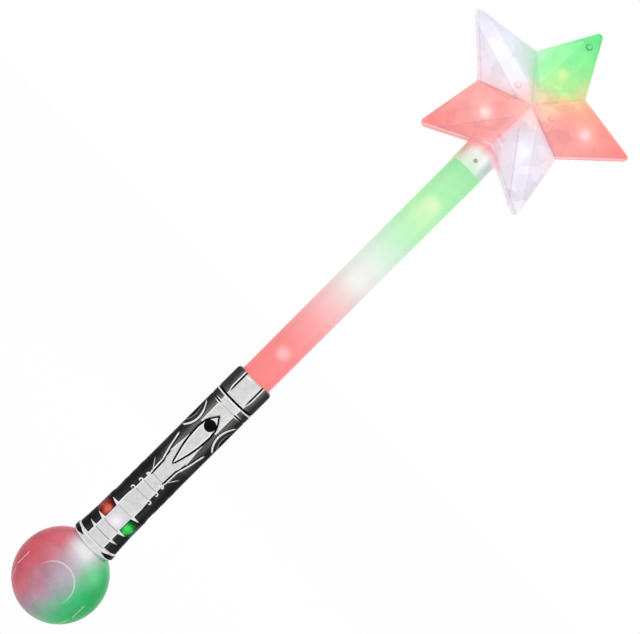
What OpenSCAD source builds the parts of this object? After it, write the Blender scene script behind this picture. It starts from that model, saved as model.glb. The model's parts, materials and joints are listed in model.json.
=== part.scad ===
// Light-up star wand, standing upright: ball at the bottom, star at the top.
// Millimetres. +Z runs up the wand, the push button faces -Y, the origin is the ball's lowest point.

/* [Prism ball] */
// Outside diameter of the ball
ball_d = 45.5; // [40:0.5:50]
// Least wall of the ball, at the corners of the inner facets
ball_wall = 1.6; // [1.2:0.1:2.4]
// Diameter of the flat inner facet at each pole of the ball
ball_pole_d = 20.6; // [16:0.2:24]
// Diameter of the second ring of facet corners
ball_ring_d = 34; // [30:0.5:37]
// Facets round the ball
ball_facets = 12; // [8:1:12]
// Wall of the ball's neck
ball_neck_wall = 1.6; // [1.2:0.1:2.4]
// Wall of the handle outside the flange that locks the neck
ball_flange_cover = 2.05; // [1.6:0.05:2.4]
// How far that flange stands out from the neck
ball_flange_step = 1.3; // [0.8:0.1:1.8]
// Thickness of that flange
ball_flange_h = 2; // [1.4:0.1:2.6]

/* [Handle] */
// Wall of the handle shells
handle_wall = 2.2; // [1.9:0.1:2.4]
// How far the lip round the ball stands out from the grip
lip_out = 1.5; // [1.2:0.1:2.5]
// Height of that lip
lip_h = 3.9; // [2.5:0.1:5]
// Depth of the ball's pole inside the lip
lip_overlap = 1.7; // [1.4:0.1:3]
// How far the handle stands out just above the lip
end_out = 0.95; // [0.8:0.05:1.2]
// Height of each of the two rings below the window
end_ring_h = 5.05; // [4.4:0.05:7]
// How far the lit window stands out
window_out = 0.4; // [0.2:0.05:0.7]
// Height of the lit window
window_h = 9.5; // [8:0.1:12]
// Plain length between the window and the beads
collar_h = 5.9; // [5.8:0.1:10]
// Height of one bead ring
bead_h = 5.1; // [4:0.1:7]
// How far a bead swells out
bead_rise = 0.15; // [0.1:0.05:0.6]
// Length from the top screw to the line below the ferrule
top_screw_up = 2.1; // [2:0.1:5]
// Height of the plain ring below the ferrule
top_ring_h = 4.7; // [4.4:0.1:8]
// Height of the ferrule
ferrule_h = 13.5; // [12:0.5:20]
// How far the ferrule stands out from the tube
ferrule_step = 2.15; // [2:0.05:2.6]
// Rounding of the ferrule's top edge
ferrule_round = 1.8; // [0.8:0.1:1.9]

/* [Relief] */
// Length of the leaf-shaped panel
leaf_l = 30; // [28:0.5:34]
// Width of the leaf
leaf_w = 7.8; // [7:0.1:9]
// Height of the widest place above the leaf's lower point
leaf_peak = 20; // [18:0.1:24]
// How far the leaf stands proud
leaf_rise = 0.6; // [0.3:0.1:1]
// Width of the groove round the leaf
leaf_groove = 0.55; // [0.3:0.05:0.8]
// Width of the raised front band
band_w = 9; // [8:0.1:11]
// How far the front band stands proud
band_rise = 0.3; // [0.1:0.05:0.5]
// Depth of the finger scallops
scallop_depth = 1.5; // [0.6:0.1:1.6]
// Radius of the ball that cuts each scallop
scallop_r = 18; // [14:0.5:24]
// Angle of each scallop from the front
scallop_angle = 69; // [55:1:75]

/* [Push button] */
// Diameter of the button
button_d = 5.4; // [4.6:0.1:6]
// Height of the button's centre above the leaf's lower point
button_up = 24.1; // [23:0.1:25]
// How far the button stands out of the leaf
button_proud = 0.8; // [0.7:0.1:1.6]
// Travel of the button
button_travel = 0.6; // [0.3:0.05:0.7]

/* [Battery bay] */
// Diameter of a button cell
cell_d = 11.6; // [10.5:0.1:12.6]
// Room between a cell and the handle's inner wall
bay_margin = 2.4; // [2.2:0.1:3]
// Height of a button cell
cell_h = 5.4; // [4.8:0.1:6]
// Length of the pressed battery spring
spring_l = 2.2; // [2:0.1:4]
// How far the battery door laps over the cells on each side
door_lap = 0.3; // [0.2:0.05:0.6]
// Height of the bay's floor above the beads
bay_up = 2.5; // [2.5:0.1:3]

/* [Light tube] */
// How much wider the tube is at the star, measured on its radius
tube_flare = 0.4; // [0:0.05:0.8]
// Wall of the tube
tube_wall = 1.3; // [1:0.1:1.6]
// Length of the tube between the ferrule and the neck
tube_show = 138.9; // [100:1:180]

/* [Star] */
// Radius to the sharp corner that the rounded tips are cut from
star_tip_r = 52.2; // [46:0.2:60]
// Radius to the notches between the arms
star_notch_r = 26.2; // [24:0.2:30]
// Width of the star as a share of a regular star's
star_wide_share = 1.045; // [0.98:0.005:1.08]
// Length of the top arm as a share of the other arms'
star_top_share = 0.96; // [0.92:0.01:1.04]
// Rounding of the tips
star_tip_round = 1.8; // [1:0.1:2.4]
// Half thickness of the star at its rim
star_rim = 2; // [1.9:0.1:3]
// Half thickness of the star at its centre
star_crown = 9.6; // [9.2:0.1:12]
// Wall of the star shells
star_wall = 1.5; // [1.2:0.1:1.6]
// Width of the flat ridge at the foot of an arm
ridge_w = 8; // [6:0.1:9]
// How far the neck under the star stands out from the tube
neck_step = 0.55; // [0.4:0.05:1.2]
// Length of the neck below the notch
neck_l = 15; // [11:0.5:17]

/* [Hidden] */
$fn = 64;

// Clearances and cuts
fit_gap = 0.15;
slide_gap = 0.25;
overrun = 1;

// Handle radii, worked out from the cells
cell_r = cell_d / 2;
inner_r = cell_r + bay_margin;
grip_r = inner_r + handle_wall;
grip_d = 2 * grip_r;
lip_r = grip_r + lip_out;
end_r = grip_r + end_out;
window_r = grip_r + window_out;
mid_ring_r = (end_r + window_r) / 2;
lip_round = 0.7;
line_w = 0.8;
line_d = 0.35;
bead_count = 3;
leaf_steps = 12;
bead_steps = 6;

// Heights from the ball to the grip
ball_r = ball_d / 2;
z_lip = ball_d - lip_overlap;
z_ring = z_lip + lip_h;
z_mid_ring = z_ring + end_ring_h;
z_window = z_mid_ring + end_ring_h;
z_collar = z_window + window_h;
z_beads = z_collar + collar_h;
z_grip = z_beads + bead_count * bead_h;

// Battery bay
cell_count = 3;
cell_cap_share = 0.8;
cell_cap_h = 0.5;
cell_round = 0.3;
bay_y = 1.2;
bay_wall = 1.2;
bay_r = cell_r + fit_gap;
plate_t = 0.5;
z_bay = z_grip + bay_up;
z_cells = z_bay + spring_l;
z_plate = z_cells + cell_count * cell_h;
z_bay_top = z_plate + plate_t + fit_gap;
bay_block_h = 6.2;
ledge_t = 1.2;
door_w = cell_d + 2 * door_lap;
door_screw_z = z_bay_top + bay_block_h / 2;
door_foot_z = z_bay - bay_wall;
door_head_z = z_bay_top + bay_block_h - overrun / 2;
door_in_r = inner_r + fit_gap;
door_screw_shank_r = 0.9;
door_screw_head_r = 1.8;
door_screw_head_h = 1.1;
door_screw_l = 6;
door_rib_count = 4;
door_rib_pitch = 2.2;
door_rib_w = 0.7;

// Battery spring
spring_wire_r = 0.3;
spring_foot_r = cell_r - 4 * spring_wire_r;
spring_head_share = 0.7;
spring_head_r = spring_foot_r * spring_head_share;
spring_turns = 2;
spring_steps = 12;
spring_sides = 6;

// Main board, switch and push button
board_t = 0.8;
lead_d = 0.8;
lead_gap = 0.05;
lead_r = lead_d / 2 - lead_gap;
main_t = 1;
main_h = 10.8;
main_side = 1.2;
main_w = 2 * (inner_r - main_side);
main_back_y = -board_t / 2 - lead_d;
main_front_y = main_back_y - main_t;
z_main = z_bay_top + bay_block_h + overrun;
post_r = 1;
post_inset = 1.6;
post_x = main_w / 2 - post_inset;
z_button = z_main + main_h / 2;
z_leaf = z_button - button_up;
button_r = button_d / 2;
button_flange_out = 0.8;
button_flange_r = button_r + button_flange_out;
button_flange_t = 0.8;
button_edge = 0.4;
button_pad_d = 0.3;
button_pad_y = button_pad_d - inner_r;
button_flange_y = button_pad_y + fit_gap;
stem_l = 0.95;
plunger_r = 1.75;
plunger_out = 0.8;
plunger_in = 1;
plunger_tip_y = button_flange_y + button_flange_t + stem_l;
switch_w = 6;
switch_top_y = plunger_tip_y + plunger_out;

// Screws that close the handle
screw_shank_r = 0.95;
screw_head_r = 1.9;
screw_head_h = 1.3;
screw_hole_gap = 0.1;
screw_boss_r = 2.6;
screw_boss_gap = 0.9;
screw_seat_y = 3;
screw_reach = 5;
low_screw_share = 0.7;
z_low_screw = z_collar + collar_h * low_screw_share;
z_high_screw = z_main + main_h + screw_boss_gap + screw_boss_r;
handle_screw_z = [z_low_screw, z_high_screw];

// Heights from the grip to the star
z_top_ring = z_high_screw + top_screw_up;
z_ferrule = z_top_ring + top_ring_h;
z_tube = z_ferrule + ferrule_h;
z_neck = z_tube + tube_show;
z_star = z_neck + neck_l + star_notch_r;
half_span = star_tip_r + ball_d;

// Window and the ribs that carry it
window_wall = 1.6;
window_in_r = window_r - window_wall;
rib_wall = 1.5;
rib_out_r = window_in_r - fit_gap;
rib_in_r = rib_out_r - rib_wall;
rib_gap_w = 9;
rib_frame = 1;
shelf_h = 2;

// Ball neck
ball_flange_r = end_r - ball_flange_cover;
ball_neck_r = ball_flange_r - ball_flange_step;
ball_neck_l = 5;
ball_flange_z = z_lip + ball_neck_l;
ball_neck_top = ball_flange_z + ball_flange_h;
ball_neck_bore_r = ball_neck_r - ball_neck_wall;
ball_core_r = ball_r - ball_wall;
ball_steps = 180;
ball_pole_r = ball_pole_d / 2;
ball_ring_r = ball_ring_d / 2;

// Board behind the window and its leads
end_board_r = rib_in_r - fit_gap;
end_board_share = 0.55;
z_end_board = z_window + window_h * end_board_share;
end_lamp_x = 3.8;
end_lamp_r = 1.5;
end_lamp_h = 2.5;
end_lead_x = 3.6;
end_lead_y = bay_y - sqrt(pow(bay_r + bay_wall, 2) - pow(end_lead_x, 2)) - lead_d;
end_lead_top = z_main + overrun;

// Tube, the spigot and plug at its foot and the coupler at its head
tube_foot_r = grip_r - ferrule_step;
tube_head_r = tube_foot_r + tube_flare;
ferrule_skin = 1.1;
spigot_h = 8.5;
spigot_in_r = tube_foot_r + fit_gap;
spigot_out_r = grip_r - ferrule_skin;
spigot_root = 2;
slot_gap = 0.15;
plug_flange_h = 1.6;
plug_l = 8;
tube_foot_up = 0.4;
tube_foot_z = z_ferrule + tube_foot_up;
plug_flange_z = tube_foot_z - fit_gap - plug_flange_h;
tube_board_side = 2.95;
tube_board_w = 2 * (tube_foot_r - tube_wall - tube_board_side);
tube_board_tab = 1.6;
z_tube_board = plug_flange_z - tube_board_tab;
tube_slope = (tube_head_r - tube_foot_r) / (z_neck - tube_foot_z);
coupler_in_tube = 9.5;
coupler_in_neck = 8.5;
coupler_r = tube_head_r - tube_wall - fit_gap;
coupler_nub_r = 1;
coupler_nub_up = 5;
neck_r = tube_head_r + neck_step;
neck_bore_r = coupler_r + fit_gap;
tube_head_z = z_neck - fit_gap;
tube_board_out = 1;
z_tube_board_top = z_neck + coupler_in_neck + tube_board_out;
lamp_r = 2;
lamp_base_h = 1;
tube_lamp_shares = [0.11, 0.455, 0.81];
tube_lead_x = tube_board_w / 2 - lead_d;
tube_lead_l = 2;
tube_lead_z = z_main + main_h - tube_lead_l;

// Star
arm_count = 5;
arm_turn = 360 / arm_count;
first_arm = 90;
tip_steps = 4;
dome_steps = 6;
ridge_drop = 0.5;
ridge_h = star_crown - ridge_drop;
ridge_foot_r = 10;
ridge_end_w = 6.6;
ridge_end_inset = 5.9;
ridge_end_rise = 1.35;
valley_r = 12;
valley_share = 0.6;
valley_h = star_crown * valley_share;
star_lamp_shares = [0.4, 0.58, 0.4, 0.41, 0.53];
star_lamp_reach = [for (share = star_lamp_shares) share * star_tip_r];
star_board_w = 6.4;
star_board_end = 3;
star_tail_w = 5;
star_lead_x = 1.6;
star_lead_l = 5;
star_boss_r = 1.9;
star_boss_x = 11;
star_boss_up = 2.4;
star_tip_boss_up = 39.5;
star_boss_places = [[-star_boss_x, star_boss_up], [star_boss_x, star_boss_up], [0, star_tip_boss_up]];
star_screw_shank_r = 0.8;
star_screw_head_r = 1.45;
star_screw_head_h = 1;
star_screw_seat_y = 1.4;
star_screw_reach = 2;

// Point at radius r and angle a
function polar(r, a) = [r * cos(a), r * sin(a)];

// V-shaped line cut in a turned profile at height z
function line_cut(r, z) = [[r, z - line_w / 2], [r - line_d, z], [r, z + line_w / 2]];

// One bead of a turned profile, from height z up
function bead(z) = [for (i = [0 : bead_steps - 1])
    [grip_r + bead_rise * sin(180 * i / bead_steps), z + bead_h * i / bead_steps]];

// Turned outside of the handle, with rise added to each radius
function handle_profile(rise) = concat(
    [[0, z_lip], [lip_r - lip_round + rise, z_lip], [lip_r + rise, z_lip + lip_round],
        [lip_r + rise, z_ring - line_w], [end_r - line_d + rise, z_ring],
        [end_r + rise, z_ring + line_w / 2]],
    [for (p = line_cut(mid_ring_r, z_mid_ring)) [p.x + rise, p.y]],
    [[window_r + rise, z_window], [window_r + rise, z_collar], [grip_r + rise, z_collar + collar_h / 2]],
    [for (k = [0 : bead_count - 1]) each [for (p = bead(z_beads + k * bead_h)) [p.x + rise, p.y]]],
    [[grip_r + rise, z_grip]],
    [for (p = line_cut(grip_r, z_top_ring)) [p.x + rise, p.y]],
    [[grip_r + rise, z_ferrule - line_w / 2], [grip_r - line_d + rise, z_ferrule], [0, z_ferrule]]);

// Keeps the front half (side = -1) or the back half (side = 1) of what it is given
module half(side) {
    intersection() {
        children();
        translate([-half_span, side < 0 ? -2 * half_span : 0, -half_span])
            cube([2 * half_span, 2 * half_span, 2 * half_span + z_star + star_tip_r]);
    }
}

// Round bar along +Y (side = 1) or -Y (side = -1) from the plane y
module bar_y(r, l, x, y, z, side = 1) {
    translate([x, y, z])
        rotate([-90 * side, 0, 0])
            cylinder(r = r, h = l);
}

// Ring with its floor at height z
module ring(r_out, r_in, h, z) {
    translate([0, 0, z])
        difference() {
            cylinder(r = r_out, h = h);
            translate([0, 0, -overrun])
                cylinder(r = r_in, h = h + 2 * overrun);
        }
}

// Flat outline drawn in X and Z, carried to the front
module front_prism(z, depth) {
    translate([0, 0, z])
        rotate([90, 0, 0])
            linear_extrude(depth)
                children();
}

// Domed lamp that looks along +Z from its foot
module lamp(r, base_h) {
    cylinder(r = r, h = base_h);
    translate([0, 0, base_h])
        difference() {
            sphere(r = r);
            translate([-r, -r, -2 * r])
                cube(2 * r);
        }
}

// Prism ball

// Faceted hollow of the ball, in rings round the front and back poles
module ball_core() {
    pole_y = sqrt(pow(ball_core_r, 2) - pow(ball_pole_r, 2));
    ring_y = sqrt(pow(ball_core_r, 2) - pow(ball_ring_r, 2));
    translate([0, 0, ball_r])
        rotate([90, 0, 0])
            rotate_extrude($fn = ball_facets)
                polygon([[0, -pole_y], [ball_pole_r, -pole_y], [ball_ring_r, -ring_y], [ball_core_r, 0],
                    [ball_ring_r, ring_y], [ball_pole_r, pole_y], [0, pole_y]]);
}

module ball_shell(side) {
    half(side)
        difference() {
            union() {
                translate([0, 0, ball_r])
                    sphere(r = ball_r, $fn = ball_steps);
                translate([0, 0, ball_r])
                    cylinder(r = ball_neck_r, h = ball_neck_top - ball_r);
                translate([0, 0, ball_flange_z])
                    cylinder(r = ball_flange_r, h = ball_flange_h);
            }
            ball_core();
            translate([0, 0, ball_r])
                cylinder(r = ball_neck_bore_r, h = ball_d);
        }
}

module ball_front_shell() {
    color("#d98a98") ball_shell(-1);
}

module ball_back_shell() {
    color("#7fcf9c") ball_shell(1);
}

// Handle

// How far an arc of radius r falls away at a distance u from its top
function arc_fall(r, u) = r - sqrt(r * r - u * u);

// Right edge of a pointed leaf, w wide on each side at its peak, from its foot up to its tip
function leaf_edge(w, low_h, high_h) =
    let (low_r = (low_h * low_h + w * w) / w / 2, high_r = (high_h * high_h + w * w) / w / 2)
    concat(
        [for (i = [0 : leaf_steps])
            let (u = low_h * (1 - i / leaf_steps)) [w - arc_fall(low_r, u), leaf_peak - u]],
        [for (i = [1 : leaf_steps])
            let (u = high_h * i / leaf_steps) [w - arc_fall(high_r, u), leaf_peak + u]]);

// Leaf outline, pointed at both ends and widest at leaf_peak, grown by grow on every side
module leaf_outline(grow = 0) {
    right = leaf_edge(leaf_w / 2 + grow, leaf_peak + 2 * grow, leaf_l - leaf_peak + 2 * grow);
    polygon(concat(right, [for (i = [len(right) - 2 : -1 : 1]) [-right[i].x, right[i].y]]));
}

// Raised front band, drawn in X and Z: it narrows over the beads, spreads to the leaf and runs on above it
module band_outline() {
    bead_shares = [1, 0.86, 0.84, 0.74];
    shoulder_share = 1;
    wedge_share = 0.34;
    crown_share = 0.96;
    ring_share = 0.98;
    w = band_w / 2;
    split_z = z_leaf - line_w;
    wedge_z = z_leaf + leaf_l * wedge_share;
    crown_z = z_leaf + leaf_peak + line_w;
    edge = concat(
        [[w, z_ring]],
        [for (k = [0 : bead_count]) [w * bead_shares[k], z_beads + k * bead_h]],
        [[w * bead_shares[bead_count], z_grip + line_w], [w * shoulder_share, split_z],
            [leaf_w / 2 + line_w / 2, wedge_z]]);
    crown = [[w * crown_share, crown_z], [w * ring_share, z_top_ring], [w, z_ferrule]];
    for (side = [edge, crown])
        polygon(concat(side, [for (i = [len(side) - 1 : -1 : 0]) [-side[i].x, side[i].y]]));
    for (s = [-1, 1])
        branch_outline(s, w * shoulder_share, split_z);
}

// Thin branch on one side, from the band's shoulder out along the leaf
module branch_outline(s, x, z) {
    reach_share = 0.72;
    bend_share = 0.68;
    foot_share = 0.17;
    top_share = 0.38;
    tip_x = grip_r * reach_share;
    bend = [x + (tip_x - x) * bend_share, z_leaf + leaf_l * foot_share];
    tip = [tip_x, z_leaf + leaf_l * top_share];
    polygon([[s * (x - line_w), z], [s * x, z - line_w], [s * (bend.x + line_w), bend.y - line_w],
        [s * tip.x, tip.y], [s * bend.x, bend.y]]);
}

// Solid handle with its relief and finger scallops
module handle_form() {
    difference() {
        union() {
            rotate_extrude()
                polygon(handle_profile(0));
            intersection() {
                rotate_extrude()
                    polygon(handle_profile(band_rise));
                front_prism(0, half_span)
                    band_outline();
            }
        }
        difference() {
            front_prism(z_leaf, half_span)
                leaf_outline(leaf_groove);
            cylinder(r = grip_r - line_d, h = z_ferrule + overrun);
        }
        for (s = [-1, 1])
            rotate([0, 0, s * scallop_angle])
                translate([0, -grip_r + scallop_depth - scallop_r, z_button])
                    sphere(r = scallop_r);
    }
    intersection() {
        cylinder(r = grip_r + leaf_rise, h = z_ferrule);
        front_prism(z_leaf, half_span)
            leaf_outline();
    }
}

// Inside of the handle: seat for the ball, groove for its flange, window recess and main hollow
module handle_hollow() {
    translate([0, 0, ball_r])
        sphere(r = ball_r + slide_gap);
    translate([0, 0, z_lip - overrun])
        cylinder(r = ball_neck_r + fit_gap, h = ball_neck_top - z_lip + 2 * overrun);
    translate([0, 0, ball_flange_z - fit_gap])
        cylinder(r = ball_flange_r + fit_gap, h = ball_flange_h + 2 * fit_gap);
    translate([0, 0, ball_neck_top + fit_gap])
        cylinder(r = rib_in_r, h = z_collar + shelf_h + overrun - ball_neck_top);
    translate([0, 0, z_collar + shelf_h])
        cylinder(r = inner_r, h = z_ferrule);
    ring(grip_d, rib_out_r, window_h, z_window);
    for (turn = [0, 90])
        rotate([0, 0, turn])
            translate([-grip_d, -rib_gap_w / 2, z_window + rib_frame])
                cube([2 * grip_d, rib_gap_w, window_h - 2 * rib_frame]);
}

// Handle wall with the spigot that takes the tube and the ferrule
module handle_wall_form() {
    difference() {
        handle_form();
        handle_hollow();
    }
    ring(spigot_out_r, spigot_in_r, spigot_h + spigot_root, z_ferrule - spigot_root);
}

// Bosses of one shell for the closing screws
module screw_bosses(side) {
    for (z = handle_screw_z)
        bar_y(screw_boss_r, inner_r + handle_wall / 2, 0, 0, z, side);
}

// Posts that pinch the main board, from the wall to the plane y
module board_posts(y, side) {
    for (x = [-post_x, post_x], z = [z_main + post_inset, z_main + main_h - post_inset])
        intersection() {
            bar_y(post_r, grip_r, x, y, z, side);
            cylinder(r = inner_r + handle_wall / 2, h = z_ferrule);
        }
}

module handle_front_shell() {
    color("#dedede")
        difference() {
            union() {
                half(-1)
                    handle_wall_form();
                screw_bosses(-1);
                board_posts(main_front_y - fit_gap, -1);
            }
            for (z = handle_screw_z)
                bar_y(screw_shank_r + screw_hole_gap, screw_reach + fit_gap, 0, 0, z, -1);
            bar_y(button_r + slide_gap, grip_d, 0, 0, z_button, -1);
            bar_y(button_flange_r + slide_gap, -button_pad_y, 0, 0, z_button, -1);
        }
}

// Trough that holds the cells, with its end walls and side ledges
module battery_tray() {
    difference() {
        union() {
            intersection() {
                translate([0, bay_y, door_foot_z])
                    cylinder(r = bay_r + bay_wall, h = z_bay_top - door_foot_z);
                translate([-grip_d, -grip_d, door_foot_z])
                    cube([2 * grip_d, grip_d + bay_y, z_bay_top - door_foot_z]);
            }
            intersection() {
                cylinder(r = inner_r, h = z_ferrule);
                translate([-grip_d, bay_y, door_foot_z])
                    cube([2 * grip_d, grip_d, bay_wall]);
            }
            intersection() {
                cylinder(r = inner_r, h = z_ferrule);
                translate([-grip_d, main_back_y + lead_d, z_bay_top])
                    cube([2 * grip_d, grip_d, bay_block_h]);
            }
            intersection() {
                cylinder(r = inner_r + handle_wall / 2, h = z_ferrule);
                translate([-grip_d, bay_y - ledge_t, door_foot_z])
                    cube([2 * grip_d, ledge_t, z_bay_top + bay_block_h - door_foot_z]);
            }
        }
        translate([0, bay_y, z_bay])
            cylinder(r = bay_r, h = z_bay_top - z_bay);
        translate([-bay_r, bay_y, z_bay])
            cube([2 * bay_r, grip_d, z_bay_top - z_bay]);
        bar_y(door_screw_shank_r + fit_gap, grip_d, 0, bay_y, door_screw_z);
    }
}

// Door outline as a block through the back wall, grown by grow
module door_block(grow = 0) {
    translate([-door_w / 2 - grow, 0, door_foot_z - grow])
        cube([door_w + 2 * grow, grip_d, door_head_z - door_foot_z + 2 * grow]);
}

module handle_back_shell() {
    color("#c9c9c9")
        difference() {
            union() {
                difference() {
                    half(1)
                        handle_wall_form();
                    difference() {
                        door_block(slide_gap);
                        cylinder(r = inner_r, h = z_ferrule);
                    }
                }
                battery_tray();
                screw_bosses(1);
                board_posts(main_back_y + fit_gap, 1);
            }
            for (z = handle_screw_z) {
                bar_y(screw_shank_r + fit_gap, grip_d, 0, -overrun, z);
                bar_y(screw_head_r + slide_gap, grip_d, 0, screw_seat_y, z);
            }
        }
}

// Cross-head screw with its head at the back, its seat on the plane y
module cross_screw(shank_r, head_r, head_h, reach, x, y, z) {
    slot_share = 0.28;
    slot_l_share = 1.3;
    slot_w = head_r * slot_share;
    slot_l = head_r * slot_l_share;
    difference() {
        union() {
            bar_y(shank_r, reach, x, y, z, -1);
            bar_y(head_r, head_h, x, y, z);
        }
        for (turn = [0, 90])
            translate([x, y + head_h, z])
                rotate([0, turn, 0])
                    cube([slot_l, head_h, slot_w], center = true);
    }
}

module handle_screws() {
    color("#8d9094")
        for (z = handle_screw_z)
            cross_screw(screw_shank_r, screw_head_r, screw_head_h, screw_seat_y + screw_reach,
                0, screw_seat_y, z);
}

// Lit window and the board behind it

module window_half(side) {
    half(side)
        ring(window_r, window_in_r, window_h - 2 * fit_gap, z_window + fit_gap);
}

module window_front() {
    color("#f2eef6") window_half(-1);
}

module window_back() {
    color("#e6e2ee") window_half(1);
}

module end_board() {
    color("#e9efe6")
        translate([0, 0, z_end_board])
            cylinder(r = end_board_r, h = board_t);
}

// Lamp under the end board that shines down into the ball
module end_lamp(x) {
    translate([x, 0, z_end_board])
        rotate([180, 0, 0])
            lamp(end_lamp_r, end_lamp_h);
}

module end_lamp_red() {
    color("#ff5a5a") end_lamp(-end_lamp_x);
}

module end_lamp_white() {
    color("#f6f6ff") end_lamp(0);
}

module end_lamp_green() {
    color("#3fd06a") end_lamp(end_lamp_x);
}

module end_leads() {
    color("#b03a3a")
        for (s = [-1, 1]) {
            translate([s * end_lead_x, end_lead_y, z_end_board + board_t])
                cylinder(r = lead_r, h = end_lead_top - z_end_board - board_t);
            translate([s * end_lead_x, end_lead_y, end_lead_top])
                sphere(r = lead_r);
            bar_y(lead_r, main_front_y - end_lead_y, s * end_lead_x, end_lead_y, end_lead_top);
        }
}

// Main board, switch and push button

module main_board() {
    color("#2f7a4b")
        translate([-main_w / 2, main_front_y, z_main])
            cube([main_w, main_t, main_h]);
}

module tact_switch() {
    color("#3a3a3c")
        difference() {
            translate([-switch_w / 2, switch_top_y, z_button - switch_w / 2])
                cube([switch_w, main_front_y - switch_top_y, switch_w]);
            bar_y(plunger_r + fit_gap, plunger_in + button_travel + fit_gap + overrun,
                0, switch_top_y - overrun, z_button);
        }
}

module switch_plunger() {
    color("#e8e8e8")
        bar_y(plunger_r, plunger_out + plunger_in, 0, plunger_tip_y, z_button);
}

module push_button() {
    top_y = grip_r + leaf_rise + button_proud;
    color("#141414") {
        translate([0, 0, z_button])
            rotate([90, 0, 0])
                rotate_extrude()
                    polygon([[0, -button_flange_y - button_flange_t],
                        [button_flange_r, -button_flange_y - button_flange_t],
                        [button_flange_r, -button_flange_y], [button_r, -button_flange_y],
                        [button_r, top_y - button_edge], [button_r - button_edge, top_y], [0, top_y]]);
        bar_y(plunger_r, plunger_tip_y - button_flange_y, 0, button_flange_y, z_button);
    }
}

// Battery bay

module button_cell(index) {
    color("#c4c6c8")
        translate([0, bay_y, z_cells + index * cell_h])
            rotate_extrude()
                polygon([[0, 0], [cell_r * cell_cap_share, 0], [cell_r * cell_cap_share, cell_cap_h],
                    [cell_r - cell_round, cell_cap_h], [cell_r, cell_cap_h + cell_round],
                    [cell_r, cell_h - cell_round], [cell_r - cell_round, cell_h], [0, cell_h]]);
}

module button_cell_1() {
    button_cell(0);
}

module button_cell_2() {
    button_cell(1);
}

module button_cell_3() {
    button_cell(2);
}

// Centre line of the conical spring: height and radius follow the share of the way up
function spring_point(i) =
    let (share = i / (spring_turns * spring_steps),
        r = spring_foot_r + (spring_head_r - spring_foot_r) * share,
        z = spring_wire_r + (spring_l - 2 * spring_wire_r) * share,
        p = polar(r, i * 360 / spring_steps))
    [p.x, p.y, z];

module battery_spring() {
    last = spring_turns * spring_steps;
    ring_points = [for (i = [0 : last], j = [0 : spring_sides - 1])
        let (c = spring_point(i), a = i * 360 / spring_steps,
            t = polar(spring_wire_r, j * 360 / spring_sides))
        [c.x + t.x * cos(a), c.y + t.x * sin(a), c.z + t.y]];
    walls = [for (i = [0 : last - 1], j = [0 : spring_sides - 1])
        let (a = i * spring_sides + j, b = i * spring_sides + (j + 1) % spring_sides)
        each [[a, a + spring_sides, b], [b, a + spring_sides, b + spring_sides]]];
    foot = [for (j = [0 : spring_sides - 1]) j];
    head = [for (j = [spring_sides - 1 : -1 : 0]) last * spring_sides + j];
    color("#d9dbdd")
        translate([0, bay_y, z_bay])
            polyhedron(points = ring_points, faces = concat(walls, [foot, head]));
}

module battery_plate() {
    color("#d9dbdd")
        translate([0, bay_y, z_plate])
            cylinder(r = cell_r * cell_cap_share, h = plate_t);
}

module battery_door() {
    color("#bdbdbd")
        difference() {
            intersection() {
                ring(grip_r, door_in_r, door_head_z - door_foot_z, door_foot_z);
                door_block();
            }
            bar_y(door_screw_shank_r + fit_gap, grip_d, 0, 0, door_screw_z);
            bar_y(door_screw_head_r + fit_gap, grip_d, 0, grip_r - door_screw_head_h - fit_gap, door_screw_z);
            for (k = [0 : door_rib_count - 1])
                ring(grip_d, grip_r - line_d, door_rib_w, z_bay + (k + 1) * door_rib_pitch);
        }
}

module door_screw() {
    color("#8d9094")
        cross_screw(door_screw_shank_r, door_screw_head_r, door_screw_head_h, door_screw_l,
            0, grip_r - door_screw_head_h - fit_gap, door_screw_z);
}

// Ferrule and light tube

module top_ferrule() {
    arc_steps = 8;
    color("#d2d2d4")
        difference() {
            rotate_extrude()
                polygon(concat([[0, z_ferrule + fit_gap], [grip_r - line_d, z_ferrule + fit_gap],
                    [grip_r, z_ferrule + line_w / 2]],
                    [for (i = [0 : arc_steps])
                        polar(ferrule_round, i * 90 / arc_steps)
                            + [grip_r - ferrule_round, z_tube - ferrule_round]],
                    [[0, z_tube]]));
            cylinder(r = spigot_out_r + fit_gap, h = z_ferrule + spigot_h + fit_gap);
            cylinder(r = tube_foot_r + tube_slope * ferrule_h + fit_gap, h = z_tube + overrun);
        }
}

// Slot for the tube board through a plug
module board_slot() {
    translate([-tube_board_w / 2 - slot_gap, -board_t / 2 - slot_gap, z_tube_board])
        cube([tube_board_w + 2 * slot_gap, board_t + 2 * slot_gap, z_tube_board_top - z_tube_board]);
}

module tube_plug() {
    color("#f0f0f0")
        difference() {
            union() {
                translate([0, 0, plug_flange_z])
                    cylinder(r = inner_r - fit_gap, h = plug_flange_h);
                translate([0, 0, plug_flange_z])
                    cylinder(r = tube_foot_r - tube_wall - fit_gap, h = plug_flange_h + plug_l);
            }
            board_slot();
        }
}

module light_tube() {
    color("#b9f0c2")
        translate([0, 0, tube_foot_z])
            difference() {
                cylinder(r1 = tube_foot_r, r2 = tube_head_r, h = tube_head_z - tube_foot_z);
                translate([0, 0, -overrun])
                    cylinder(r1 = tube_foot_r - tube_wall - tube_slope * overrun,
                        r2 = tube_head_r - tube_wall + tube_slope * overrun,
                        h = tube_head_z - tube_foot_z + 2 * overrun);
            }
}

module tube_board() {
    color("#eef2ec")
        translate([-tube_board_w / 2, -board_t / 2, z_tube_board])
            cube([tube_board_w, board_t, z_tube_board_top - z_tube_board]);
}

module tube_lamp(index) {
    translate([0, -board_t / 2, z_tube + tube_show * tube_lamp_shares[index]])
        rotate([90, 0, 0])
            lamp(lamp_r, lamp_base_h);
}

module tube_lamp_red() {
    color("#ff5a5a") tube_lamp(0);
}

module tube_lamp_white() {
    color("#f6f6ff") tube_lamp(1);
}

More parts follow.
